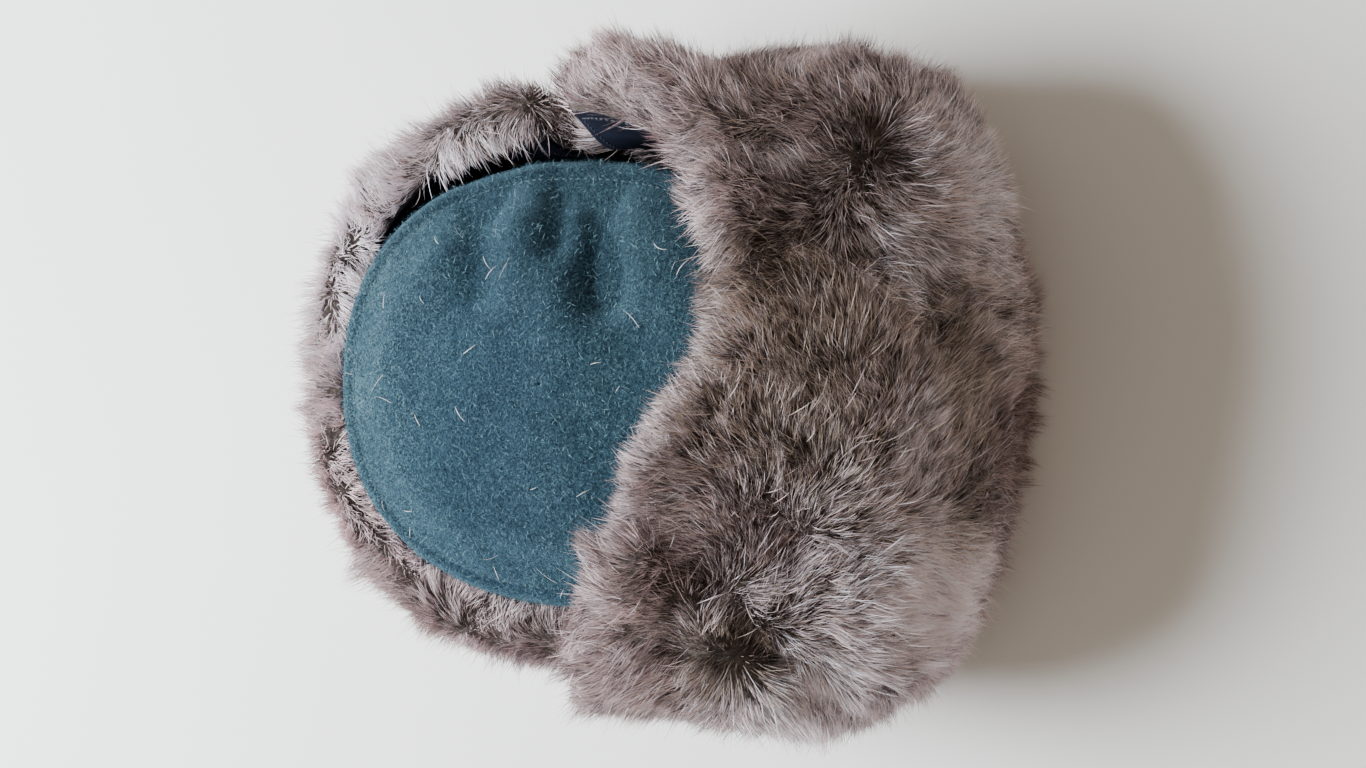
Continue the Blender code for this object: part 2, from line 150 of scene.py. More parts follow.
# Coats of hair: hairs per square metre, lengths, width, how far they lean at the root, how unruly they are,
# tufts as (hairs in each, pull, splay, contrast), what is added to the lightness from root to tip, how far
# single hairs differ in lightness, the share with dark tips, and the joints along each hair
COATS = {
    "wool": {
        "density": 750e3,
        "lengths": (0.009, 0.014),
        "width": 0.00046,
        "lean": 0.55,
        "mess": 0.35,
        "clumps": ((12, 0.5, 0.0005, 0.04), (110, 0.25, 0.0008, 0.05)),
        "levels": (-0.30, 0.0, 0.10),
        "variety": 0.10,
        "dark_tips": 0.0,
        "joints": 3,
    },
    "hair": {
        "density": 900e3,
        "lengths": (0.010, 0.0165),
        "width": 0.00029,
        "lean": 0.55,
        "mess": 0.30,
        "clumps": ((9, 0.55, 0.0006, 0.05), (60, 0.34, 0.0018, 0.08)),
        "levels": (-0.42, -0.34, -0.12, 0.40),
        "variety": 0.16,
        "dark_tips": 0.14,
        "joints": 5,
    },
    "guard": {
        "density": 100e3,
        "lengths": (0.014, 0.021),
        "width": 0.00030,
        "lean": 0.60,
        "mess": 0.42,
        "clumps": (),
        "levels": (-0.10, 0.15, 0.40, 0.55),
        "variety": 0.22,
        "dark_tips": 0.22,
        "joints": 5,
    },
}
MOST_HAIRS = 26000
DENSER_FUR = {"neck_flap": 1.35}
ROOT_DEPTH, HAIR_CLEARANCE, FLOOR_CLEARANCE = 0.0030, 0.0012, 0.0006

# The underfur: its grid, how it rolls over a loose edge, and its lumps
PELT_CELL, EDGE_TURN, EDGE_STEPS, EDGE_ROLL = 0.0020, radians(178), 7, 0.6
FINE_LUMPS, BROAD_LUMPS = 0.0022, 0.0028

# Which way the fur lies near some places on the hat
FUR_LIES = (
    ((-0.110, 0.020, 0.143), (-0.7, -0.6, 0.3)),
    ((-0.116, 0.017, 0.102), (-0.9, -0.3, 0.2)),
    ((-0.090, 0.061, 0.149), (-0.3, -0.8, 0.5)),
    ((-0.060, 0.075, 0.152), (0.1, -0.9, 0.5)),
    ((-0.111, 0.068, 0.094), (-1.0, 0.3, -0.2)),
    ((-0.108, 0.097, 0.050), (-0.8, 0.5, -0.3)),
    ((-0.082, 0.124, 0.075), (-0.7, 0.6, -0.3)),
    ((-0.064, 0.134, 0.070), (0.2, 0.9, -0.5)),
    ((-0.046, 0.127, 0.117), (0.4, 0.8, -0.4)),
    ((-0.048, 0.088, 0.155), (0.4, -0.8, 0.5)),
    ((-0.021, 0.110, 0.146), (-0.9, -0.3, 0.2)),
    ((0.009, 0.106, 0.151), (-0.9, -0.4, 0.2)),
    ((0.009, 0.130, 0.121), (-1.0, 0.1, -0.1)),
    ((0.012, 0.070, 0.152), (-0.4, -0.8, 0.4)),
    ((-0.024, 0.140, 0.050), (-0.2, 0.9, -0.5)),
    ((0.002, 0.137, 0.084), (-1.0, 0.2, -0.1)),
    ((0.047, 0.089, 0.159), (-0.9, -0.3, 0.2)),
    ((0.045, 0.055, 0.155), (-0.2, -0.9, 0.5)),
    ((0.093, 0.037, 0.150), (0.4, -0.8, 0.5)),
    ((0.073, 0.123, 0.101), (-0.1, 0.9, -0.5)),
    ((0.070, 0.132, 0.075), (0.1, 0.9, -0.5)),
    ((0.102, 0.079, 0.105), (0.9, 0.4, -0.2)),
    ((0.068, 0.096, 0.142), (-0.4, 0.8, -0.4)),
    ((0.043, 0.124, 0.123), (-0.7, 0.6, -0.3)),
    ((0.105, 0.020, 0.110), (1.0, -0.3, 0.2)),
    ((0.0, -0.130, 0.110), (0.0, -0.8, 0.6)),
    ((0.080, -0.105, 0.100), (0.6, -0.6, 0.5)),
    ((-0.080, -0.105, 0.110), (-0.6, -0.6, 0.5)),
)
LIE_REACH = 0.022

# Hollows of the fur, from which the hairs spread: place, radius, depth
HOLLOWS = (
    ((-0.086, 0.109, 0.107), 0.012, 0.008),
    ((-0.064, 0.096, 0.142), 0.011, 0.005),
    ((0.070, 0.066, 0.158), 0.010, 0.008),
    ((0.088, 0.060, 0.150), 0.009, 0.006),
    ((0.055, 0.098, 0.150), 0.012, 0.006),
    ((0.091, 0.079, 0.140), 0.010, 0.005),
    ((-0.022, 0.134, 0.100), 0.012, 0.005),
)
# Creases: points along each, and its depth
CREASE_WIDTH = 0.007
CREASES = (
    (((-0.048, 0.088, 0.155), (-0.051, 0.115, 0.132), (-0.033, 0.136, 0.093), (-0.028, 0.142, 0.050)), 0.006),
    (((0.047, 0.089, 0.159), (0.057, 0.108, 0.140), (0.050, 0.128, 0.110), (0.045, 0.138, 0.075)), 0.005),
    (((-0.086, 0.085, 0.145), (-0.090, 0.106, 0.110), (-0.092, 0.112, 0.070)), 0.006),
    (((0.075, 0.075, 0.152), (0.095, 0.084, 0.128), (0.093, 0.104, 0.080)), 0.005),
)

# Lightness of the fur, from 0 to 1, and how fast it falls with the depth of the hollows and creases, as
# painted shade
FUR_LIGHTNESS, HOLLOW_SHADE = 0.635, 11.0
# Tone of the fur: place, reach, what is added to the lightness, and the family of hairs found there. The dark
# entries that sit on the hollows are painted shade.
TONES = (
    ((-0.112, 0.018, 0.130), 0.026, 0.12, "taupe"),
    ((-0.088, 0.052, 0.146), 0.020, 0.02, "taupe"),
    ((-0.075, 0.130, 0.075), 0.028, 0.14, "frost"),
    ((-0.046, 0.127, 0.117), 0.012, 0.08, "frost"),
    ((-0.077, 0.095, 0.133), 0.009, 0.12, "frost"),
    ((-0.086, 0.109, 0.107), 0.014, -0.22, "taupe"),
    ((-0.064, 0.096, 0.142), 0.014, -0.16, "taupe"),
    ((-0.040, 0.100, 0.148), 0.016, -0.12, "golden"),
    ((-0.021, 0.110, 0.146), 0.020, -0.08, "golden"),
    ((0.009, 0.106, 0.151), 0.026, -0.12, "golden"),
    ((-0.022, 0.134, 0.100), 0.016, -0.22, "golden"),
    ((0.002, 0.137, 0.084), 0.020, -0.04, "golden"),
    ((0.019, 0.133, 0.111), 0.012, 0.12, "frost"),
    ((0.052, 0.094, 0.153), 0.016, -0.22, "taupe"),
    ((0.045, 0.137, 0.081), 0.014, -0.15, "golden"),
    ((0.091, 0.079, 0.140), 0.013, -0.18, "golden"),
    ((0.070, 0.066, 0.158), 0.014, -0.06, "taupe"),
    ((0.093, 0.035, 0.150), 0.026, 0.08, "taupe"),
    ((0.073, 0.125, 0.100), 0.026, 0.46, "frost"),
    ((0.078, 0.125, 0.065), 0.034, 0.44, "frost"),
    ((0.108, 0.090, 0.095), 0.030, 0.42, "frost"),
    ((0.045, 0.055, 0.155), 0.018, -0.04, "taupe"),
    ((-0.080, -0.100, 0.112), 0.044, 0.50, "frost"),
    ((-0.031, -0.124, 0.112), 0.040, 0.34, "frost"),
    ((0.040, -0.120, 0.110), 0.044, 0.24, "taupe"),
    ((0.080, -0.080, 0.105), 0.040, 0.16, "taupe"),
)

# The studio
FLOOR_HALF = 12.0
FLOOR_SHADES = ((0.86, 0.835, 0.79), (0.90, 0.875, 0.83))
ROOM_COLOUR, ROOM_STRENGTH = (1.0, 0.87, 0.73), 0.38
WINDOW_PLACE, WINDOW_AIM = (0.10, -0.88, 0.98), (0.0, 0.0, 0.05)
WINDOW_SIZE, WINDOW_POWER, WINDOW_COLOUR = 0.90, 64.0, (0.86, 0.93, 1.0)


# ---------------------------------------------------------------- shapes


def mix(start, end, share):
    return start + (end - start) * share


def unit(vectors):
    return vectors / np.maximum(np.linalg.norm(vectors, axis=-1, keepdims=True), 1e-12)


def smooth(low, high, x):
    t = np.clip((x - low) / (high - low), 0.0, 1.0)
    return t * t * (3 - 2 * t)


def through(values, share):
    """A smooth curve through evenly spaced values, each a number or one number per point."""
    rows = np.stack([np.broadcast_to(value, share.shape) for value in values]).astype(float)
    last = len(rows) - 1
    rows = np.vstack([[2 * rows[0] - rows[1]], rows, [2 * rows[last] - rows[last - 1]]])
    place = np.clip(share, 0.0, 1.0) * last
    left = np.minimum(place.astype(int), last - 1)
    s = place - left
    column = np.arange(len(share))
    before, here, there, after = (rows[left + k, column] for k in range(4))
    bend = (2 * before - 5 * here + 4 * there - after) * s + (3 * (here - there) + after - before) * s * s
    return here + 0.5 * s * (there - before + bend)


def outline(angle, half_x, half_y, squareness):
    """A rounded oval: 2 is an ellipse, and it grows squarer from there."""
    east, north = np.sin(np.radians(angle)), -np.cos(np.radians(angle))
    reach = (np.abs(east / half_x) ** squareness + np.abs(north / half_y) ** squareness) ** (-1 / squareness)
    return east * reach, north * reach


def bell(distance, width):
    """1 at no distance, falling off smoothly over the width."""
    return np.exp(-((distance / width) ** 2))


def wall_point(angle, z, gap, squareness=None):
    """Points round the crown's wall at heights z, moved out from the felt's face by gap."""
    share = np.clip(z / TOP_EDGE_Z, 0.0, 1.0)
    if squareness is None:
        squareness = mix(RIM_SQUARENESS, TOP_SQUARENESS, share)
    half_x = mix(RIM_HALF_X, TOP_HALF_X, share) + gap
    half_y = mix(RIM_HALF_Y, TOP_HALF_Y, share) + gap
    x, y = outline(angle, half_x, half_y, squareness)
    return np.stack([x, y, z], axis=-1) + MIDDLE


def fullness(angle, z):
    """How far the flaps bulge out at the two back corners of the hat."""
    turned = np.where(angle > 180, 360 - angle, np.abs(angle))
    share = np.clip((z - CORNER_FOOT_Z) / (CORNER_HEAD_Z - CORNER_FOOT_Z), 0.0, 1.0)
    return CORNER_FULLNESS * np.sin(pi * share) ** 2 * bell(turned - CORNER_ANGLE, CORNER_SPREAD)


def flap_point(flap, u, v):
    """Points of a flap's backing where it faces the crown."""
    angle = mix(mix(*flap["fold_angles"], u), mix(*flap["edge_angles"], u), v)
    drop = flap["corner_drop"][0] * np.maximum(0.0, 1 - u / CORNER_SHARE) ** 2
    drop = drop + flap["corner_drop"][1] * np.maximum(0.0, 1 - (1 - u) / CORNER_SHARE) ** 2
    heights = [row[0] for row in flap["rows"]]
    gaps = [row[1] for row in flap["rows"]]
    gaps[-1] = through(flap["top_gaps"], u)
    z = heights[0] + (through(heights, v) - heights[0]) * (1 - drop * v)
    return wall_point(angle, z, through(gaps, v) + fullness(angle, z), through(FLAP_SQUARENESS, v))


def flap_frame(flap, u, v):
    """Points of a flap's cloth with the outward normal and the directions in which u and v grow."""
    step = 0.004
    along = unit(flap_point(flap, u + step, v) - flap_point(flap, u - step, v))
    up_v, down_v = np.minimum(v + step, 1.0), np.maximum(v - step, 0.0)
    rise = unit(flap_point(flap, u, up_v) - flap_point(flap, u, down_v))
    return flap_point(flap, u, v), unit(np.cross(along, rise)), along, rise


def hashed(cells, seed):
    """A repeatable number from 0 to 1 for each whole-number cell."""
    mixed = cells[..., 0] * 73856093 ^ cells[..., 1] * 19349663 ^ cells[..., 2] * 83492791 ^ seed * 2654435761
    mixed = (mixed ^ (mixed >> 13)) * 1274126177 & 0x7FFFFFFF
    return ((mixed ^ (mixed >> 16)) & 0xFFFF) / 65535.0


def noise(points, size, seed):
    """Smooth noise from -1 to 1 whose lumps are about size across."""
    scaled = np.asarray(points) / size
    base = np.floor(scaled).astype(np.int64)
    part = scaled - base
    part = part * part * (3 - 2 * part)
    total = 0.0
    for corner in np.ndindex(2, 2, 2):
        offset = np.array(corner)
        weight = np.prod(np.where(offset == 1, part, 1 - part), axis=-1)
        total = total + weight * hashed(base + offset, seed)
    return total * 2 - 1


def rough_noise(points, size, seed, layers=3):
    total = 0.0
    for layer in range(layers):
        total = total + noise(points, size / 2**layer, seed + layer) / 2**layer
    return total / (2 - 2.0 ** (1 - layers))


# ---------------------------------------------------------------- meshes


def new_object(name, data, *materials):
    for material in materials:
        data.materials.append(material)
    obj = bpy.data.objects.new(name, data)
    bpy.context.scene.collection.objects.link(obj)
    return obj


def make_mesh(name, points, quads, tris=None, shades=None):
    """A smooth mesh; shades holds the number of each face's material."""
    mesh = bpy.data.meshes.new(name)
    points = np.asarray(points, np.float32).reshape(-1, 3)
    corners = np.asarray(quads, np.int32).reshape(-1, 4)
    sizes = np.full(len(corners), 4)
    flat = corners.ravel()
    if tris is not None:
        flat = np.concatenate([flat, np.asarray(tris, np.int32).ravel()])
        sizes = np.concatenate([sizes, np.full(len(tris), 3)])
    mesh.vertices.add(len(points))
    mesh.vertices.foreach_set("co", points.ravel())
    mesh.loops.add(len(flat))
    mesh.loops.foreach_set("vertex_index", flat.astype(np.int32))
    mesh.polygons.add(len(sizes))
    starts = np.concatenate([[0], np.cumsum(sizes)[:-1]])
    mesh.polygons.foreach_set("loop_start", starts.astype(np.int32))
    if shades is not None:
        mesh.polygons.foreach_set("material_index", np.asarray(shades, np.int32))
    mesh.polygons.foreach_set("use_smooth", np.ones(len(sizes), bool))
    mesh.update(calc_edges=True)
    return mesh


def grid_quads(rows, columns, closed=False):
    """The faces of a grid of points; a closed grid joins its last column to its first."""
    row, column = np.meshgrid(np.arange(rows - 1), np.arange(columns - (not closed)), indexing="ij")
    after = (column + 1) % columns
    corners = (row * columns + column, row * columns + after)
    corners += ((row + 1) * columns + after, (row + 1) * columns + column)
    return np.stack(corners, axis=-1).reshape(-1, 4)


def grid_object(name, points, *materials, closed=False):
    rows, columns = points.shape[:2]
    return new_object(name, make_mesh(name, points, grid_quads(rows, columns, closed)), *materials)


def thicken(obj, thickness, outwards=False):
    shell = obj.modifiers.new("Thickness", "SOLIDIFY")
    shell.thickness = thickness
    shell.offset = 1.0 if outwards else -1.0
    shell.use_even_offset = False


def grid_normals(points):
    return unit(np.cross(np.gradient(points, axis=1), np.gradient(points, axis=0)))


def line_length(line):
    return np.linalg.norm(np.diff(line, axis=0), axis=1).sum()


def flat_size(points, digits=3):
    """The width and the length of a grid of cloth, measured over its middle."""
    rows, columns = points.shape[:2]
    return round(line_length(points[rows // 2]), 3), round(line_length(points[:, columns // 2]), digits)


# ---------------------------------------------------------------- materials


def principled(name, colour=(0.5, 0.5, 0.5), roughness=0.8, metallic=0.0, sheen=0.0, specular=0.5):
    material = bpy.data.materials.new(name)
    material.use_nodes = True
    shader = material.node_tree.nodes["Principled BSDF"]
    shader.inputs["Base Color"].default_value = (*colour, 1.0)
    shader.inputs["Roughness"].default_value = roughness
    shader.inputs["Metallic"].default_value = metallic
    shader.inputs["Specular IOR Level"].default_value = specular
    shader.inputs["Sheen Weight"].default_value = sheen
    shader.inputs["Sheen Roughness"].default_value = 0.5
    return material


class Nodes:
    """Short calls for the node trees of the materials below."""

    def __init__(self, material):
        self.tree = material.node_tree
        self.shader = self.tree.nodes["Principled BSDF"]
        self.place = self.add("ShaderNodeTexCoord").outputs["Object"]

    def add(self, kind, **settings):
        node = self.tree.nodes.new(kind)
        for key, value in settings.items():
            setattr(node, key, value)
        return node

    def link(self, source, socket):
        self.tree.links.new(source, socket)

    def stretched(self, scale):
        mapping = self.add("ShaderNodeMapping")
        mapping.inputs["Scale"].default_value = scale
        self.link(self.place, mapping.inputs["Vector"])
        return mapping.outputs["Vector"]

    def noise(self, scale, detail=2.0, roughness=0.5, vector=None):
        node = self.add("ShaderNodeTexNoise")
        node.inputs["Scale"].default_value = scale
        node.inputs["Detail"].default_value = detail
        node.inputs["Roughness"].default_value = roughness
        self.link(vector or self.place, node.inputs["Vector"])
        return node.outputs["Fac"]

    def wave(self, scale, distortion=0.0, direction="X"):
        node = self.add("ShaderNodeTexWave", bands_direction=direction)
        node.inputs["Scale"].default_value = scale
        node.inputs["Distortion"].default_value = distortion
        node.inputs["Detail Scale"].default_value = 2.0
        self.link(self.place, node.inputs["Vector"])
        return node.outputs["Fac"]

    def ramp(self, source, *stops):
        node = self.add("ShaderNodeValToRGB")
        elements = node.color_ramp.elements
        while len(elements) < len(stops):
            elements.new(0.5)
        for element, (position, colour) in zip(elements, stops):
            element.position = position
            element.color = (*colour, 1.0)
        self.link(source, node.inputs["Fac"])
        return node.outputs["Color"]

    def feed(self, socket, value):
        """Gives a socket a number, a colour or another node's result."""
        if isinstance(value, bpy.types.NodeSocket):
            self.link(value, socket)
        elif isinstance(value, tuple):
            socket.default_value = (*value, 1.0)
        else:
            socket.default_value = value

    def blend(self, share, first, second, kind="MIX"):
        node = self.add("ShaderNodeMix", data_type="RGBA", blend_type=kind)
        self.feed(node.inputs["Factor"], share)
        self.feed(node.inputs[6], first)
        self.feed(node.inputs[7], second)
        return node.outputs[2]

    def multiplied(self, first, second):
        return self.blend(1.0, first, second, "MULTIPLY")

    def axis(self, name):
        node = self.add("ShaderNodeSeparateXYZ")
        self.link(self.place, node.inputs[0])
        return node.outputs[name]

    def math(self, operation, *values):
        node = self.add("ShaderNodeMath", operation=operation)
        for socket, value in zip(node.inputs, values):
            self.feed(socket, value)
        return node.outputs[0]

    def colour(self, source):
        self.link(source, self.shader.inputs["Base Color"])

    def roughness(self, source):
        self.link(source, self.shader.inputs["Roughness"])

    def bump(self, *heights):
        """Each height is (source, strength, distance); they are stacked."""
        normal = None
        for source, strength, distance in heights:
            node = self.add("ShaderNodeBump")
            node.inputs["Strength"].default_value = strength
            node.inputs["Distance"].default_value = distance
            self.link(source, node.inputs["Height"])
            if normal is not None:
                self.link(normal, node.inputs["Normal"])
            normal = node.outputs["Normal"]
        self.link(normal, self.shader.inputs["Normal"])


def felt_material(name):
    """Boiled wool: mixed teal, dark and pale fibres, with painted light making the front lighter, and darker
    to the right.
    """
    material = principled(name, roughness=0.95, sheen=0.55, specular=0.10)
    shader = material.node_tree.nodes["Principled BSDF"]
    shader.inputs["Sheen Roughness"].default_value = 0.38
    shader.inputs["Sheen Tint"].default_value = (0.29, 0.53, 0.66, 1.0)
    n = Nodes(material)
    dark, teal = (0.002, 0.008, 0.014), (0.010, 0.032, 0.050)
    light, pale = (0.030, 0.076, 0.102), (0.120, 0.190, 0.220)
    fibres = n.noise(1050.0, 6.0, 0.85)
    base = n.ramp(fibres, (0.40, dark), (0.48, teal), (0.56, light), (0.66, pale))
    patches = n.ramp(n.noise(42.0, 5.0, 0.65), (0.30, (0.55, 0.62, 0.66)), (0.70, (1.35, 1.25, 1.18)))
    # Painted light: the felt is painted far lighter at the front, where the window light and sheen fall, and
    # a little darker over the middle.
    towards_front = n.math("ADD", n.axis("Y"), n.math("MULTIPLY", n.noise(22.0, 3.0), 0.05))
    place = n.math("MULTIPLY_ADD", towards_front, 4.0, 0.45)
    painted_front_light = n.ramp(place, (0.0, (3.3, 2.4, 2.1)), (0.38, (0.86, 0.82, 0.90)), (0.75, (1.08, 0.92, 0.90)))
    across = n.math("MULTIPLY_ADD", n.axis("X"), 5.0, 0.5)
    darker = n.ramp(across, (0.05, (0.66, 0.62, 0.60)), (0.42, (1.0,) * 3))
    flecks = n.ramp(n.noise(700.0, 1.0), (0.66, (0.0,) * 3), (0.76, (1.0,) * 3))
    cloth = n.multiplied(n.multiplied(base, patches), n.multiplied(painted_front_light, darker))
    n.colour(n.blend(n.math("MULTIPLY", flecks, 0.30), cloth, pale))
    n.bump((n.noise(1000.0, 6.0, 0.8), 1.0, 0.0009), (n.noise(230.0, 3.0), 0.45, 0.0012))
    return material


def satin_material(name):
    """Dark navy satin, a little uneven in its colour and gloss."""
    material = principled(name, roughness=0.50, specular=0.18)
    n = Nodes(material)
    n.colour(n.ramp(n.noise(45.0, 3.0), (0.35, (0.006, 0.007, 0.014)), (0.75, (0.012, 0.014, 0.028))))
    n.roughness(n.ramp(n.noise(120.0, 2.0), (0.3, (0.44,) * 3), (0.7, (0.62,) * 3)))
    threads = n.wave(900.0, 0.4, "DIAGONAL")
    n.bump((n.noise(34.0, 3.0), 0.35, 0.0030), (threads, 0.10, 0.0002))
    return material


def underfur_material(name):
    """Short dense wool between the hairs, dark grey-brown at the root."""
    material = principled(name, roughness=0.95, sheen=0.1, specular=0.2)
    n = Nodes(material)
    tufts = n.noise(420.0, 4.0, 0.7)
    root, middle, tip = (0.022, 0.017, 0.015), (0.075, 0.060, 0.054), (0.19, 0.16, 0.145)
    base = n.ramp(tufts, (0.30, root), (0.52, middle), (0.75, tip))
    zones = n.ramp(n.noise(32.0, 3.0), (0.32, (0.65, 0.60, 0.57)), (0.68, (1.25, 1.18, 1.12)))
    n.colour(n.multiplied(base, zones))
    n.bump((tufts, 0.9, 0.0016), (n.noise(130.0, 3.0), 0.6, 0.0030))
    return material


def thread_material(name, colour):
    """Twisted sewing thread."""
    material = principled(name, colour, roughness=0.55, sheen=0.2, specular=0.4)
    n = Nodes(material)
    twist = n.wave(1400.0, 0.0, "DIAGONAL")
    n.colour(n.ramp(twist, (0.2, tuple(c * 0.6 for c in colour)), (0.8, tuple(c * 1.3 for c in colour))))
    n.bump((twist, 0.5, 0.0002))
    return material


def ribbon_material(name):
    """Ribbed ribbon, darkened where it is worn."""
    material = principled(name, roughness=0.5, sheen=0.3, specular=0.45)
    n = Nodes(material)
    ribs = n.wave(420.0, 0.3, "Z")
    base = n.ramp(ribs, (0.2, (0.010, 0.011, 0.016)), (0.8, (0.040, 0.042, 0.055)))
    worn = n.ramp(n.noise(55.0, 4.0), (0.35, (0.75, 0.74, 0.72)), (0.7, (1.15, 1.15, 1.15)))
    n.colour(n.multiplied(base, worn))
    n.bump((ribs, 0.5, 0.0004), (n.noise(900.0, 2.0), 0.2, 0.0002))
    return material


def wadding_material(name):
    """Fluffy white fibre."""
    material = principled(name, roughness=1.0, sheen=0.3, specular=0.1)
    n = Nodes(material)
    fluff = n.noise(240.0, 5.0, 0.7)
    n.colour(n.ramp(fluff, (0.3, (0.46, 0.45, 0.43)), (0.7, (0.74, 0.73, 0.70))))
    n.bump((fluff, 0.8, 0.0015))
    return material


def canvas_material(name):
    """Stiff woven interlining."""
    material = principled(name, roughness=0.9, sheen=0.1, specular=0.2)
    n = Nodes(material)
    weave = n.math("MULTIPLY", n.wave(700.0, 0.2, "X"), n.wave(700.0, 0.2, "Z"))
    n.colour(n.ramp(weave, (0.0, (0.40, 0.38, 0.34)), (0.6, (0.72, 0.70, 0.64))))
    n.bump((weave, 0.6, 0.0004))
    return material


def nickel_material(name):
    """Black nickel plate, scuffed here and there."""
    material = principled(name, (0.022, 0.022, 0.024), roughness=0.28, metallic=0.95)
    n = Nodes(material)
    scuffs = n.noise(700.0, 4.0, 0.6, n.stretched((1.0, 6.0, 1.0)))
    n.colour(n.ramp(scuffs, (0.55, (0.020, 0.020, 0.022)), (0.75, (0.110, 0.105, 0.100))))
    n.roughness(n.ramp(scuffs, (0.35, (0.20,) * 3), (0.7, (0.42,) * 3)))
    n.bump((scuffs, 0.08, 0.0001))
    return material


def plain_shades(name, *colours):
    """Constant colours for loose fibres."""
    shades = []
    for index, colour in enumerate(colours):
        shades.append(principled(f"{name}_{index}", colour, roughness=0.8, specular=0.2))
    return shades


def fur_shades():
    """Plain hair colours: for each family, levels from its dark to its light end."""
    shades = []
    for family, (dark, light) in FUR_FAMILIES.items():
        for level in range(SHADE_LEVELS):
            share = (level / (SHADE_LEVELS - 1)) ** 1.4
            colour = tuple(mix(d, l, share) for d, l in zip(dark, light))
            shades.append(principled(f"hair_{family}_{level}", colour, roughness=0.62, specular=0.30))
    return shades


# ---------------------------------------------------------------- hairs


def blades(name, points, width, facing, shade_of_segment, materials):
    """Thin tapered hairs: points is (hairs, joints, 3), and each hair ends in a tip."""
    hairs, joints = points.shape[:2]
    segments = joints - 1
    tangent = unit(points[:, -1] - points[:, 0])
    side = unit(np.cross(tangent, facing)) * 0.5
    share = np.linspace(0.0, 1.0, joints)[:-1]
    taper = (1 - share**1.8) * (0.65 + 0.35 * np.minimum(1.0, share * 4))
    spread = side[:, None, :] * (width[:, None] * taper[None, :])[:, :, None]
    pairs = np.stack([points[:, :-1] - spread, points[:, :-1] + spread], axis=2).reshape(hairs, -1, 3)
    verts = np.concatenate([pairs, points[:, -1:]], axis=1)
    per_hair = 2 * segments + 1
    start = (np.arange(hairs) * per_hair)[:, None, None]
    low = 2 * np.arange(segments - 1)
    quads = np.stack([low, low + 1, low + 3, low + 2], axis=-1)[None] + start
    tip = np.array([2 * segments - 2, 2 * segments - 1, 2 * segments])[None] + start[:, 0]
    shades = np.concatenate([shade_of_segment[:, :-1].ravel(), shade_of_segment[:, -1]])
    mesh = make_mesh(name, verts, quads.reshape(-1, 4), tip, shades)
    return new_object(name, mesh, *materials)


def crown_top_height(x, y):
    """The plain dome's height over points of the floor plan, and how far out they lie, 1 at the edge."""
    east, north = np.abs((x - MIDDLE[0]) / TOP_HALF_X), np.abs((y - MIDDLE[1]) / TOP_HALF_Y)
    out = (east**TOP_SQUARENESS + north**TOP_SQUARENESS) ** (1 / TOP_SQUARENESS)
    flat = SHOULDER_Z + DOME_RISE * (1 - (np.minimum(out, SHOULDER_SHARE) / SHOULDER_SHARE) ** 2)
    edge = smooth(SHOULDER_SHARE, 1.03, out)
    return mix(flat, TOP_EDGE_Z, edge), out


def crown_lift(out):
    """How far the felt is puffed up over the plain dome."""
    return CROWN_LIFT * smooth(LIFT_FROM, LIFT_FULL, out)


def keep_outside(points, gap=HAIR_CLEARANCE):
    """Moves hair points that would lie inside the crown to just outside it, and off the floor."""
    flat = points.reshape(-1, 3)
    top, out = crown_top_height(flat[:, 0], flat[:, 1])
    top = top + crown_lift(out)
    angle = np.degrees(np.arctan2(flat[:, 0] - MIDDLE[0], -(flat[:, 1] - MIDDLE[1])))
    wall = wall_point(angle, np.clip(flat[:, 2], 0.0, TOP_EDGE_Z), gap)
    reach = np.linalg.norm((wall - MIDDLE)[:, :2], axis=1)
    here = np.linalg.norm((flat - MIDDLE)[:, :2], axis=1)
    too_low = top + gap - flat[:, 2]
    too_near = reach - here
    inside = (too_low > 0) & (too_near > 0)
    lift = inside & (too_low < too_near)
    shove = inside & ~lift
    flat[lift, 2] = (top + gap)[lift]
    flat[shove, :2] = wall[shove, :2]
    flat[:, 2] = np.maximum(flat[:, 2], FLOOR_CLEARANCE)
    return flat.reshape(points.shape)


def curved(roots, middles, tips, joints):
    """Each hair as points along a bowed curve."""
    t = np.linspace(0.0, 1.0, joints)[None, :, None]
    return (1 - t) ** 2 * roots[:, None] + 2 * t * (1 - t) * middles[:, None] + t * t * tips[:, None]


def clump(roots, tips, middles, size, pull, splay, seed):
    """Draws the hairs together into tufts round some of them. Each tuft has its own lean and tone."""
    rng = np.random.default_rng(seed)
    count = max(1, len(roots) // size)
    centres = rng.choice(len(roots), count, replace=False)
    tree = kdtree.KDTree(count)
    for index, centre in enumerate(centres):
        tree.insert(roots[centre], index)
    tree.balance()
    tuft = np.array([tree.find(root)[1] for root in roots])
    nearest = centres[tuft]
    strength = (pull * rng.uniform(0.5, 1.0, len(roots)))[:, None]
    lean = rng.normal(0.0, splay, (count, 3))[tuft]
    tips = mix(tips, tips[nearest], strength) + lean
    middles = mix(middles, middles[nearest], strength * 0.45) + lean * 0.4
    return middles, tips, rng.normal(0.0, 1.0, count)[tuft]


# ---------------------------------------------------------------- pelts


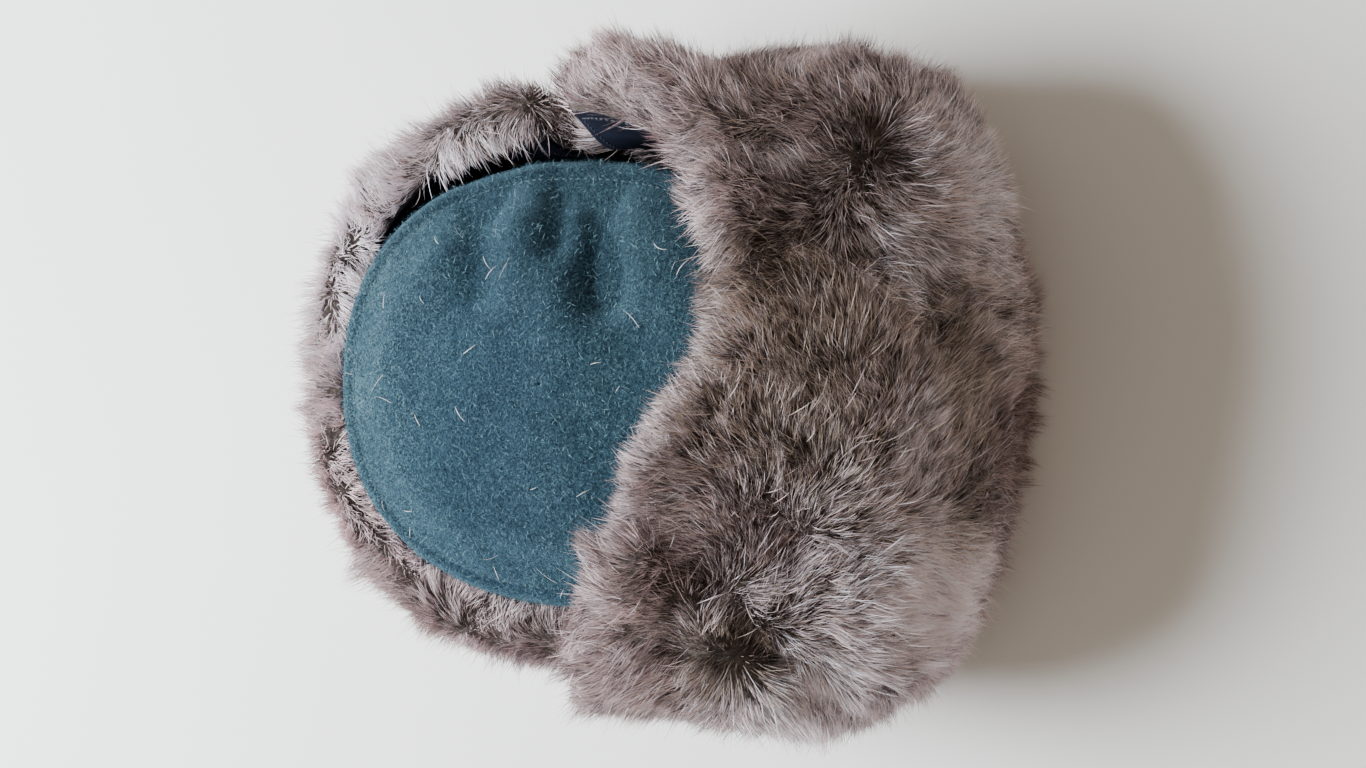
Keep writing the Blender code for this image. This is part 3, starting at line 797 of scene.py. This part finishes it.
def pelt_grid(flap, stretch, loose, height):
    """The outside of a pelt's underfur as grids: points, normals, directions and the turn round the edge."""
    ends = flap_point(flap, np.array(stretch), np.array([0.5, 0.5]))
    columns = max(12, int(np.linalg.norm(ends[1] - ends[0]) * 1.1 / PELT_CELL))
    rows = int((flap["rows"][-1][0] + 0.02) / PELT_CELL)
    edge = np.linspace(0.0, EDGE_TURN, EDGE_STEPS + 1)[1:]
    u, turn_u = np.linspace(*stretch, columns), np.zeros(columns)
    if loose[0]:
        u = np.concatenate([np.full(EDGE_STEPS, stretch[0]), u])
        turn_u = np.concatenate([-edge[::-1], turn_u])
    if loose[1]:
        u = np.concatenate([u, np.full(EDGE_STEPS, stretch[1])])
        turn_u = np.concatenate([turn_u, edge])
    v = np.concatenate([np.zeros(EDGE_STEPS), np.linspace(0.0, 1.0, rows), np.ones(EDGE_STEPS)])
    turn_v = np.concatenate([-edge[::-1], np.zeros(rows), edge])
    grid_u, grid_v = np.meshgrid(u, v)
    edge_u, edge_v = np.meshgrid(turn_u, turn_v)
    frames = flap_frame(flap, grid_u.ravel(), grid_v.ravel())
    point, normal, along, rise = (vectors.reshape(*grid_u.shape, 3) for vectors in frames)
    theta = np.minimum(np.hypot(edge_u, edge_v), EDGE_TURN)
    outward = unit(along * edge_u[..., None] + rise * edge_v[..., None] + 1e-9 * normal)
    lumps = rough_noise(point, 0.014, 11) * FINE_LUMPS + noise(point, 0.030, 17) * BROAD_LUMPS
    plain = point + normal * (SKIN_LIFT + height)
    thick = np.maximum(height + lumps - hollow_depth(plain), 0.25 * height)[..., None]
    half = (SKIN_LIFT + thick) / 2
    bend = theta[..., None]
    surface = point + normal * half * (1 + np.cos(bend)) + outward * half * EDGE_ROLL * np.sin(bend)
    surface = keep_outside(surface)
    return {
        "points": surface,
        "normals": grid_normals(surface),
        "rise": rise,
        "turn": theta,
        "outward": outward,
    }


def distance_to_line(points, line):
    """The distance from each point to the nearest stretch of a line of points."""
    nearest = np.full(points.shape[:-1], np.inf)
    for start, end in zip(np.array(line[:-1]), np.array(line[1:])):
        run = end - start
        share = np.clip((points - start) @ run / (run @ run), 0.0, 1.0)
        nearest = np.minimum(nearest, np.linalg.norm(points - (start + share[..., None] * run), axis=-1))
    return nearest


def near(points, place, reach):
    """How near points are to a place: 1 there, falling off smoothly over the reach."""
    return np.exp(-np.sum((points - np.array(place)) ** 2, axis=-1) / reach**2)


def hollow_depth(points):
    """How far the hollows and creases sink the fur at points of its face."""
    depth = 0.0
    for place, radius, sunk in HOLLOWS:
        depth = depth + sunk * near(points, place, radius)
    for line, sunk in CREASES:
        depth = depth + sunk * bell(distance_to_line(points, line), CREASE_WIDTH)
    return depth * (0.80 + 0.45 * noise(points, 0.008, 33))


def sample(grid, density, rng, farthest_turn=2.95):
    """Random places on a pelt grid, spread evenly by area: every array of the grid, read at each place."""
    p = grid["points"]
    first, second = p[:-1, 1:] - p[:-1, :-1], p[1:, :-1] - p[:-1, :-1]
    area = np.linalg.norm(np.cross(first, second), axis=-1)
    area = np.where(grid["turn"][:-1, :-1] < farthest_turn, area, 0.0)
    count = int(area.sum() * density)
    chosen = rng.choice(area.size, count, p=(area / area.sum()).ravel())
    row, column = np.unravel_index(chosen, area.shape)
    a, b = rng.random(count), rng.random(count)
    found = {}
    for key, values in grid.items():
        shape = (-1,) + (1,) * (values.ndim - 2)
        wa, wb = a.reshape(shape), b.reshape(shape)
        lower = mix(values[row, column], values[row, column + 1], wa)
        upper = mix(values[row + 1, column], values[row + 1, column + 1], wa)
        found[key] = mix(lower, upper, wb)
    found["normals"] = unit(found["normals"])
    return found


def flow(flap_name, places):
    """The direction in which the fur lies, as a unit vector at each place."""
    points, normal = places["points"], places["normals"]
    over_edge = places["outward"] * 0.6 * np.sin(np.minimum(places["turn"], pi / 2))[:, None]
    lying = (places["rise"] * 0.5 + over_edge) * 0.3
    for place, direction in FUR_LIES:
        lying = lying + near(points, place, LIE_REACH)[:, None] * np.array(direction)
    for place, radius, _ in HOLLOWS:
        share = 0.30 * near(points, place, 1.5 * radius)
        lying = lying + share[:, None] * unit(points - np.array(place))
    if flap_name == "front_flap":
        inwards = unit((MIDDLE - points) * np.array((1.0, 1.0, 0.0)))
        inner = smooth(1.10, 2.4, places["turn"]) * smooth(0.080, 0.100, points[:, 2])
        lying = lying + 0.8 * inner[:, None] * inwards
    lying -= normal * np.sum(lying * normal, axis=1, keepdims=True)
    lying = unit(lying)
    across = np.cross(normal, lying)
    swing = noise(points, 0.022, 5) * 0.55 + noise(points, 0.0075, 6) * 0.75
    return unit(lying * np.cos(swing)[:, None] + across * np.sin(swing)[:, None])


def fur_tone(places, rng):
    """The family and the lightness from 0 to 1 of each hair."""
    points = places["points"]
    count = len(points)
    light = FUR_LIGHTNESS + 0.12 * rough_noise(points, 0.024, 21) + 0.08 * noise(points, 0.007, 25)
    pull = {family: np.full(count, 0.10) for family in FUR_FAMILIES}
    pull["taupe"] += 0.15
    # The zones of tone; the dark ones on the hollows are painted shade.
    for place, reach, added, family in TONES:
        share = near(points, place, reach)
        light += added * share
        pull[family] += share
    # Painted shade: hairs are darkened where the hollows and creases sink the fur.
    light -= HOLLOW_SHADE * hollow_depth(points)
    weights = np.stack(list(pull.values()))
    chosen = (np.cumsum(weights / weights.sum(axis=0), axis=0) < rng.random(count)).sum(axis=0)
    return np.minimum(chosen, len(FUR_FAMILIES) - 1), light


def grow(name, flap_name, grid, coat, seed):
    """One coat of hair on a pelt, in pieces of at most MOST_HAIRS."""
    rng = np.random.default_rng(seed)
    lean, joints = coat["lean"], coat["joints"]
    places = sample(grid, coat["density"] * DENSER_FUR.get(flap_name, 1.0), rng)
    count = len(places["points"])
    normal = places["normals"]
    lying = flow(flap_name, places)
    jitter = unit(rng.normal(0.0, 1.0, (count, 3)))
    length = rng.uniform(*coat["lengths"], count) * (1 + 0.15 * noise(places["points"], 0.02, 41))
    start = unit(normal * cos(lean) + lying * sin(lean) + jitter * coat["mess"])
    finish = unit(normal * cos(lean + 0.6) + lying * sin(lean + 0.6) + jitter * 1.4 * coat["mess"])
    roots = places["points"] - normal * ROOT_DEPTH
    middles = roots + start * (length * 0.5)[:, None]
    tips = middles + finish * (length * 0.5)[:, None]
    tone = np.zeros(count)
    for index, (size, pull, splay, contrast) in enumerate(coat["clumps"]):
        middles, tips, tuft_tone = clump(roots, tips, middles, size, pull, splay, seed + 1 + index)
        tone += tuft_tone * contrast
    curve = curved(roots, middles, tips, joints)
    curve[:, 1:] = keep_outside(curve[:, 1:])
    family, light = fur_tone(places, rng)
    light = light + tone + rng.normal(0.0, coat["variety"], count)
    share = (np.arange(joints - 1) + 0.5) / (joints - 1)
    added = np.interp(share, np.linspace(0.0, 1.0, len(coat["levels"])), coat["levels"])
    dark_tip = np.where(rng.random(count) < coat["dark_tips"], -0.5, 0.0)[:, None] * (share > 0.75)[None, :]
    level = np.clip(light[:, None] + added[None, :] + dark_tip, 0.0, 0.999)
    shades = family[:, None] * SHADE_LEVELS + (level * SHADE_LEVELS).astype(int)
    facing = unit(normal + rng.normal(0.0, 0.45, (count, 3)))
    widths = rng.uniform(0.75, 1.25, count) * coat["width"]
    for part, first in enumerate(range(0, count, MOST_HAIRS)):
        some = slice(first, first + MOST_HAIRS)
        piece = blades(f"{name}_{part + 1}", curve[some], widths[some], facing[some], shades[some], SHADES)
        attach(piece, flap_name)


def fur_pelt(name, number):
    """A pelt: its underfur, then its three coats of hair."""
    flap_name, node, stretch, loose, height = PELTS[name]
    flap = FLAPS[flap_name]
    grid = pelt_grid(flap, stretch, loose, height)
    skin = grid_object(name, grid["points"], UNDERFUR)
    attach(skin, flap_name)
    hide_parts(node)
    for index, (coat_name, coat) in enumerate(COATS.items()):
        grow(f"{name}_{coat_name}", flap_name, grid, coat, 100 * number + 10 * index)


# ---------------------------------------------------------------- crown


def crown_relief(points, angle, out):
    """How far the felt of the crown's top stands above its plain dome: seam, valley, dents and waves."""
    inset = (1 - out) * TOP_REACH
    relief = crown_lift(out)
    forward = 0.55 + 0.45 * np.cos(np.radians(angle))
    for (place, width, height), share in ((SEAM_RIDGE, 1.0), (STITCH_GROOVE, 1.0), (RIM_VALLEY, forward)):
        relief += height * share * bell(inset - place, width)
    for line, width, depth in CROWN_DENTS:
        relief -= depth * bell(distance_to_line(points[..., :2], line), width)
    middle = smooth(1.0, 0.85, out)
    relief += middle * (0.0008 * noise(points, 0.038, 61) + 0.0004 * noise(points, 0.014, 62))
    return np.maximum(relief, DEEPEST_DENT)


def dome_grid(inset, columns, rows, first=0.004):
    """Points over the crown's top from its middle to its edge, inset all round, and how far out each lies."""
    round_it = np.linspace(360, 0, columns, endpoint=False)
    angle, share = np.meshgrid(round_it, np.linspace(first, 1.0, rows))
    roll = np.clip((share - ROLL_FROM) / (1 - ROLL_FROM), 0.0, 1.0) * pi / 2
    domed = share <= ROLL_FROM
    out = np.where(domed, share / ROLL_FROM * SHOULDER_SHARE, mix(SHOULDER_SHARE, 1.0, np.sin(roll)))
    flat = SHOULDER_Z + DOME_RISE * (1 - (out / SHOULDER_SHARE) ** 2)
    z = np.where(domed, flat, mix(TOP_EDGE_Z, SHOULDER_Z, np.cos(roll))) - inset
    x, y = outline(angle, TOP_HALF_X - inset, TOP_HALF_Y - inset, TOP_SQUARENESS)
    return np.stack([x * out, y * out, z], axis=-1) + MIDDLE, angle, out


def crown_top():
    """The domed top panel, with its seam rolled over the edge."""
    points, angle, out = dome_grid(0.0, 220, 72)
    points = np.concatenate([points, points[-1:] - np.array((0, 0, 0.0015))])
    angle, out = np.vstack([angle, angle[-1:]]), np.vstack([out, out[-1:]])
    points = points + grid_normals(points) * crown_relief(points, angle, out)[..., None]
    obj = grid_object("crown_top", points, FELT_TEAL, closed=True)
    thicken(obj, FELT)
    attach(obj, "crown")
    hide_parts("crown_top_panel")
    row = np.argmin(np.abs((1 - out[:, 0]) * TOP_REACH - STITCH_INSET))
    seam = (points[row], grid_normals(points)[row])
    stitches("crown_top_stitches", [seam], "crown", THREAD_TEAL, closed=True)
    fuzz(points)


def fuzz(points):
    """Loose fibres that stand up from the felt of the crown's top, and a few shed hairs of the fur on it."""
    rng = np.random.default_rng(7)
    grid = {"points": points, "normals": grid_normals(points), "turn": np.zeros(points.shape[:2])}
    for name, fibre, materials in (("crown_fuzz", FUZZ, FIBRES), ("crown_shed_hairs", SHED_HAIRS, SHED)):
        density, lengths, width, lean = fibre
        places = sample(grid, density, rng)
        root, normal = places["points"], places["normals"]
        count = len(root)
        lying = unit(np.cross(normal, rng.normal(0.0, 1.0, (count, 3))))
        length = rng.uniform(*lengths, count)[:, None]
        middle = root + normal * 0.0005 + unit(normal * cos(lean) + lying * sin(lean)) * length * 0.5
        turned = unit(lying + np.cross(normal, lying) * rng.normal(0.0, 0.6, (count, 1)))
        tip = middle + unit(normal * cos(lean + 0.25) + turned * sin(lean + 0.25)) * length * 0.5
        curve = curved(root, middle, tip, 4)
        shades = np.repeat(rng.integers(0, len(materials), count)[:, None], 3, axis=1)
        widths = rng.uniform(0.7, 1.2, count) * width
        piece = blades(name, curve, widths, unit(normal + rng.normal(0, 0.4, (count, 3))), shades, materials)
        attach(piece, "crown")


def crown_side(side, number):
    """One half of the crown's wall, with a row of stitches beside each of its two seams."""
    columns, rows, start = 150, 60, 0.15
    angle = np.linspace(start, 180 - start, columns)[::number] * number
    angle, z = np.meshgrid(angle, np.linspace(WALL_FOOT_Z, WALL_HEAD_Z, rows))
    points = wall_point(angle.ravel(), z.ravel(), 0.0).reshape(rows, columns, 3)
    free = smooth(0.0, 0.02, z) * smooth(WALL_HEAD_Z, WALL_HEAD_Z - 0.02, z)
    waves = 0.0007 * noise(points, 0.030, 71) * free
    seam = np.minimum(np.abs(angle), 180 - np.abs(angle))
    waves -= 0.0008 * bell(seam, 0.7)
    points = points + grid_normals(points) * waves[..., None]
    obj = grid_object("crown_wall_" + side, points, FELT_TEAL)
    thicken(obj, FELT)
    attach(obj, "crown")
    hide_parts("crown_side_" + side)
    for place, column in (("first", 3), ("last", columns - 4)):
        seam = (points[2:-2, column], grid_normals(points)[2:-2, column])
        stitches(f"crown_seam_stitches_{side}_{place}", [seam], "crown", THREAD_TEAL)


def stitches(name, seams, body, thread, closed=False, pitch=STITCH_PITCH, radius=STITCH_RADIUS):
    """Rows of stitches as one piece. Each seam is a line of points with its normals."""
    rings, sides = 5, 6
    points, quads, before = [], [], 0
    for line, normals in seams:
        if closed:
            line, normals = np.vstack([line, line[:1]]), np.vstack([normals, normals[:1]])
        run = np.concatenate([[0.0], np.cumsum(np.linalg.norm(np.diff(line, axis=0), axis=1))])
        count = max(1, int(run[-1] / pitch))
        step = run[-1] / count
        length = step * STITCH_SHARE
        share = np.linspace(-1.0, 1.0, rings)
        places = ((np.arange(count) + 0.5) * step)[:, None] + share[None] * length / 2
        at = np.stack([np.interp(places, run, line[:, k]) for k in range(3)], axis=-1)
        up = unit(np.stack([np.interp(places, run, normals[:, k]) for k in range(3)], axis=-1))
        side = unit(np.cross(np.gradient(at, axis=1), up))
        bow = radius * (0.9 * (1 - share**2) - 0.30)
        thick = radius * np.sqrt(1 - 0.96 * share**4)
        turn = np.linspace(0.0, 2 * pi, sides, endpoint=False)
        ring = np.cos(turn)[:, None] * side[:, :, None] + np.sin(turn)[:, None] * up[:, :, None]
        tubes = (at + up * bow[None, :, None])[:, :, None] + ring * thick[None, :, None, None]
        first = before + np.arange(count) * rings * sides
        points.append(tubes.reshape(-1, 3))
        quads.append((grid_quads(rings, sides, closed=True)[None] + first[:, None, None]).reshape(-1, 4))
        before += count * rings * sides
    obj = new_object(name, make_mesh(name, np.vstack(points), np.vstack(quads)), thread)
    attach(obj, body)


def ring_grid(inset, heights, columns, wave=0.0, seed=0):
    """Points round the inside of the crown at some heights, with soft waves inwards."""
    angle, z = np.meshgrid(np.linspace(0, 360, columns, endpoint=False), heights)
    points = wall_point(angle.ravel(), z.ravel(), -inset).reshape(*z.shape, 3)
    inwards = unit((MIDDLE - points) * np.array((1.0, 1.0, 0.0)))
    return points + inwards * (wave * (0.5 + 0.5 * noise(points, 0.03, seed)))[..., None], inwards


def rim_felt():
    """The felt binding under the rim: a strip folded round the edge, with a row of stitches."""
    columns, corner = 260, 0.0012
    low, high = RIM_BAND_PROUD - RIM_BAND_WIDTH + corner, RIM_BAND_PROUD - corner
    foot, head = corner, RIM_BAND_HEIGHT - corner
    turn = np.radians(np.linspace(0, 90, 4))
    gaps, heights = [], []
    for gap, height, quarter in ((high, foot, -90), (high, head, 0), (low, head, 90), (low, foot, 180)):
        gaps.extend(gap + corner * np.cos(turn + radians(quarter)))
        heights.extend(height + corner * np.sin(turn + radians(quarter)))
    angle = np.linspace(0, 360, columns, endpoint=False)
    rows = [wall_point(angle, np.full(columns, z), gap) for gap, z in zip(gaps, heights)]
    points = np.stack(rows + rows[:1])
    obj = grid_object("rim_felt", points, FELT_TEAL, closed=True)
    weld = obj.modifiers.new("Weld", "WELD")
    weld.merge_threshold = 0.00001
    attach(obj, "crown")
    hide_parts("rim_band")
    line = wall_point(angle, np.full(columns, RIM_BAND_HEIGHT / 2), RIM_BAND_PROUD)
    outwards = unit((line - MIDDLE) * np.array((1.0, 1.0, 0.0)))
    stitches("rim_stitches", [(line, outwards)], "crown", THREAD_TEAL, closed=True)


def puffed(obj, points, pinned, inwards, most):
    """Blows the cloth between its quilting lines inwards by simulation, and returns its new points."""
    group = obj.vertex_groups.new(name="quilting")
    group.add(np.flatnonzero(pinned.ravel()).tolist(), 1.0, "REPLACE")
    cloth = obj.modifiers.new("Cloth", "CLOTH")
    cloth.settings.quality = 4
    cloth.settings.mass = 0.15
    cloth.settings.tension_stiffness = cloth.settings.compression_stiffness = 8.0
    cloth.settings.shear_stiffness = 4.0
    cloth.settings.bending_stiffness = 0.05
    cloth.settings.shrink_min = -0.06
    cloth.settings.use_pressure = True
    cloth.settings.uniform_pressure_force = SIM_PRESSURE
    cloth.settings.effector_weights.gravity = 0.0
    cloth.settings.vertex_group_mass = "quilting"
    cloth.collision_settings.use_collision = False
    cloth.collision_settings.use_self_collision = False
    for step in range(1, SIM_FRAMES + 1):
        bpy.context.scene.frame_set(step)
    settled = obj.evaluated_get(bpy.context.evaluated_depsgraph_get())
    moved = np.empty(points.size, np.float32)
    settled.data.vertices.foreach_get("co", moved)
    obj.modifiers.remove(cloth)
    bpy.context.scene.frame_set(1)
    offset = moved.reshape(points.shape) - points
    in_by = np.sum(offset * inwards, axis=-1, keepdims=True)
    sideways = offset - inwards * in_by
    return points + np.clip(sideways, -most, most) + inwards * np.clip(np.abs(in_by), 0.0, most)


def lay(obj, points):
    """Moves an object's points."""
    obj.data.vertices.foreach_set("co", points.astype(np.float32).ravel())
    obj.data.update()


def lining():
    """The quilted satin lining: padded diamonds between rows of stitches, on the wall and under the top."""
    inset = FELT + WADDING + 2 * LAYER_GAP
    columns = QUILT_REPEATS * QUILT_CELLS
    heights = np.arange(WALL_FOOT_Z, WALL_HEAD_Z - inset, RIM_LENGTH / columns)
    heights = np.append(heights, TOP_EDGE_Z - inset)
    points, inwards = ring_grid(inset, heights, columns)
    j, i = np.meshgrid(np.arange(len(heights)), np.arange(columns), indexing="ij")
    pinned = ((i + j) % QUILT_CELLS == 0) | ((i - j) % QUILT_CELLS == 0)
    pinned |= (points[..., 2] < SWEATBAND_HEAD_Z + QUILT_OVER_BAND) | (j == len(heights) - 1)
    side = grid_object("lining_quilt_side", points, SATIN, closed=True)
    quilted = puffed(side, points, pinned, inwards, QUILT_PUFF)
    lay(side, quilted)
    thicken(side, LINING)
    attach(side, "crown")
    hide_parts("lining_side")
    seams = []
    above = np.flatnonzero(heights > SWEATBAND_HEAD_Z + QUILT_OVER_BAND)
    for first in range(0, columns, QUILT_CELLS):
        for way in (1, -1):
            run = (first + way * above) % columns
            seams.append((quilted[above, run], inwards[above, run]))
    stitches("lining_side_stitches", seams, "crown", THREAD_NAVY, pitch=QUILT_PITCH, radius=QUILT_THREAD)

    points, _, out = dome_grid(inset, 220, 90)
    spacing = RIM_LENGTH / QUILT_REPEATS
    across = np.stack([points[..., 0] + points[..., 1], points[..., 0] - points[..., 1]])
    nearest = np.abs((across / spacing + 0.5) % 1.0 - 0.5).min(axis=0) * spacing / sin(pi / 4) / 2
    pinned = (nearest < QUILT_SEAM) | (out > QUILT_PINNED_FROM)
    inwards = -grid_normals(points)
    top = grid_object("lining_quilt_top", points, SATIN, closed=True)
    lay(top, puffed(top, points, pinned, inwards, QUILT_PUFF))
    thicken(top, LINING)
    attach(top, "crown")
    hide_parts("lining_top")
    seams = []
    reach = TOP_HALF_Y - inset
    for along in np.arange(-6, 7) * spacing:
        for way in (1, -1):
            x = np.linspace(-TOP_HALF_X, TOP_HALF_X, 90)
            y = (along - x) * way
            height, far = crown_top_height(x, y)
            keep = (far < QUILT_STITCHED_TO) & (np.abs(y) < reach)
            if keep.sum() > 3:
                line = np.stack([x, y, height - inset - 0.0002], axis=-1)[keep]
                seams.append((line, np.broadcast_to(np.array((0.0, 0.0, -1.0)), line.shape)))
    stitches("lining_top_stitches", seams, "crown", THREAD_NAVY, pitch=QUILT_PITCH, radius=QUILT_THREAD)


def sweatband():
    """The ribbon inside the rim, with a row of stitches along each edge."""
    inset = FELT + WADDING + LINING + 3 * LAYER_GAP
    points, inwards = ring_grid(inset, np.linspace(WALL_FOOT_Z, SWEATBAND_HEAD_Z, 26), 300, 0.0005, 81)
    obj = grid_object("sweatband_ribbon", points, RIBBON, closed=True)
    thicken(obj, BAND_CLOTH)
    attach(obj, "crown")
    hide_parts("sweatband")
    for edge, row in (("foot", 2), ("head", 23)):
        seam = (points[row] + inwards[row] * BAND_CLOTH, inwards[row])
        stitches("sweatband_stitches_" + edge, [seam], "crown", THREAD_NAVY, closed=True)


def fold_cloth(flap_name):
    """The felt that joins a flap's foot to the rim."""
    flap = FLAPS[flap_name]
    columns, rows = 90, 16
    u, t = np.meshgrid(np.linspace(0.004, 0.996, columns), np.linspace(0.0, 1.0, rows))
    angle = mix(*flap["fold_angles"], u)
    z = mix(FOLD_CLOTH_FOOT, FOLD_CLOTH_HEAD, t)
    gap = RIM_BAND_PROUD + 0.0004 + 0.0046 * smooth(0.0, 0.75, t)
    points = wall_point(angle.ravel(), z.ravel(), gap.ravel()).reshape(rows, columns, 3)
    obj = grid_object(flap_name + "_fold_felt", points, FELT_TEAL)
    thicken(obj, FOLD_CLOTH, outwards=True)
    for modifier in list(obj.modifiers):
        apply(obj, modifier)
    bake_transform(obj)


def apply(obj, modifier):
    bpy.context.view_layer.objects.active = obj
    bpy.ops.object.modifier_apply(modifier=modifier.name)


def backing(flap_name):
    """A flap's satin, with a row of stitches inside its free edges."""
    flap = FLAPS[flap_name]
    columns, rows = 80, 70
    u, v = np.meshgrid(np.linspace(0, 1, columns), np.linspace(0, 1, rows))
    point, normal, _, _ = flap_frame(flap, u.ravel(), v.ravel())
    wrinkles = rough_noise(point, 0.022, 51) * 0.0005
    point = (point + normal * wrinkles[:, None]).reshape(rows, columns, 3)
    normal = normal.reshape(rows, columns, 3)
    obj = grid_object(flap_name + "_satin", point, SATIN)
    thicken(obj, BACKING, outwards=True)
    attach(obj, flap_name)
    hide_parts(flap_name + "_backing")
    flat = flat_size(point)
    side = max(2, round(SATIN_STITCH_INSET / flat[0] * columns))
    top = max(2, round(SATIN_STITCH_INSET / flat[1] * rows))
    path = [(row, side) for row in range(3, rows - top)]
    path += [(rows - 1 - top, column) for column in range(side, columns - side)]
    path += [(row, columns - 1 - side) for row in range(rows - top - 1, 2, -1)]
    row, column = np.array(path).T
    seam = (point[row, column], -normal[row, column])
    stitches(flap_name + "_satin_stitches", [seam], flap_name, THREAD_NAVY)


def dress_cad():
    """Materials for the CAD pieces that stay: metal studs, wadding and the flaps' stiffening."""
    for name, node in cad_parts.items():
        if "wadding" in name:
            material = WADDING_WHITE
        elif "interlining" in name:
            material = CANVAS
        elif "stud" in name or "socket" in name or "cap" in name:
            material = BLACK_NICKEL
        else:
            continue
        for slot in node.material_slots:
            slot.material = material


# ---------------------------------------------------------------- studio


def camera():
    """Looks down on the hat from behind, with the front of the hat to the left of the picture."""
    azimuth, elevation = radians(CAMERA_AZIMUTH), radians(CAMERA_ELEVATION)
    back = Vector((sin(azimuth) * cos(elevation), -cos(azimuth) * cos(elevation), sin(elevation)))
    up = Vector((cos(azimuth), sin(azimuth), 0.0))
    right = up.cross(back)
    data = bpy.data.cameras.new("camera")
    data.lens = CAMERA_LENS
    data.clip_start = 0.01
    obj = new_object("camera", data)
    place = CAMERA_AIM + right * CAMERA_ASIDE + back * CAMERA_DISTANCE
    turned = Matrix((right, up, back)).transposed().to_4x4()
    obj.matrix_world = Matrix.Translation(place) @ turned
    bpy.context.scene.camera = obj


def floor():
    signs = ((-1, -1), (1, -1), (1, 1), (-1, 1))
    corners = [(east * FLOOR_HALF, north * FLOOR_HALF, 0) for east, north in signs]
    mesh = make_mesh("floor", corners, [(0, 1, 2, 3)])
    material = principled("floor", roughness=0.75, specular=0.2)
    n = Nodes(material)
    n.colour(n.ramp(n.noise(3.0, 2.0), (0.3, FLOOR_SHADES[0]), (0.7, FLOOR_SHADES[1])))
    new_object("floor", mesh, material)


def lights():
    """A warm dim room and one large cool window at the left of the picture."""
    world = bpy.data.worlds.new("studio")
    world.use_nodes = True
    background = world.node_tree.nodes["Background"]
    background.inputs["Color"].default_value = (*ROOM_COLOUR, 1.0)
    background.inputs["Strength"].default_value = ROOM_STRENGTH
    bpy.context.scene.world = world
    data = bpy.data.lights.new("window", "AREA")
    data.shape = "DISK"
    data.size = WINDOW_SIZE
    data.energy = WINDOW_POWER
    data.color = WINDOW_COLOUR
    window = new_object("window", data)
    window.location = WINDOW_PLACE
    window.rotation_mode = "QUATERNION"
    window.rotation_quaternion = (Vector(WINDOW_PLACE) - Vector(WINDOW_AIM)).to_track_quat("Z", "Y")


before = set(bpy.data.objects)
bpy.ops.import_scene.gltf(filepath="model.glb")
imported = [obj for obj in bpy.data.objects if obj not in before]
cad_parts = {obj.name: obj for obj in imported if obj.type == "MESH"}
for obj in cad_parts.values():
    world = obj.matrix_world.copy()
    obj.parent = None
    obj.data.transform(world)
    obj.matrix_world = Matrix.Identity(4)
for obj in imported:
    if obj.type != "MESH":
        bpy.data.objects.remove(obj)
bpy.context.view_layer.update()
camera()
floor()
lights()
FELT_TEAL = felt_material("felt_teal")
SATIN = satin_material("satin_navy")
UNDERFUR = underfur_material("underfur")
SHADES = fur_shades()
THREAD_TEAL = thread_material("thread_teal", (0.030, 0.075, 0.095))
THREAD_NAVY = thread_material("thread_navy", (0.030, 0.033, 0.050))
RIBBON = ribbon_material("ribbon")
WADDING_WHITE = wadding_material("wadding")
CANVAS = canvas_material("canvas")
BLACK_NICKEL = nickel_material("black_nickel")
FIBRES = plain_shades(
    "fibre", (0.004, 0.016, 0.026), (0.014, 0.045, 0.068), (0.040, 0.105, 0.140), (0.150, 0.260, 0.300)
)
SHED = plain_shades("shed", (0.75, 0.70, 0.66), (0.90, 0.87, 0.84))
crown_top()
crown_side("left", 1)
crown_side("right", -1)
rim_felt()
lining()
sweatband()
dress_cad()
for flap_name in FLAPS:
    backing(flap_name)
    fold_cloth(flap_name)
for number, pelt_name in enumerate(PELTS, start=1):
    fur_pelt(pelt_name, number)
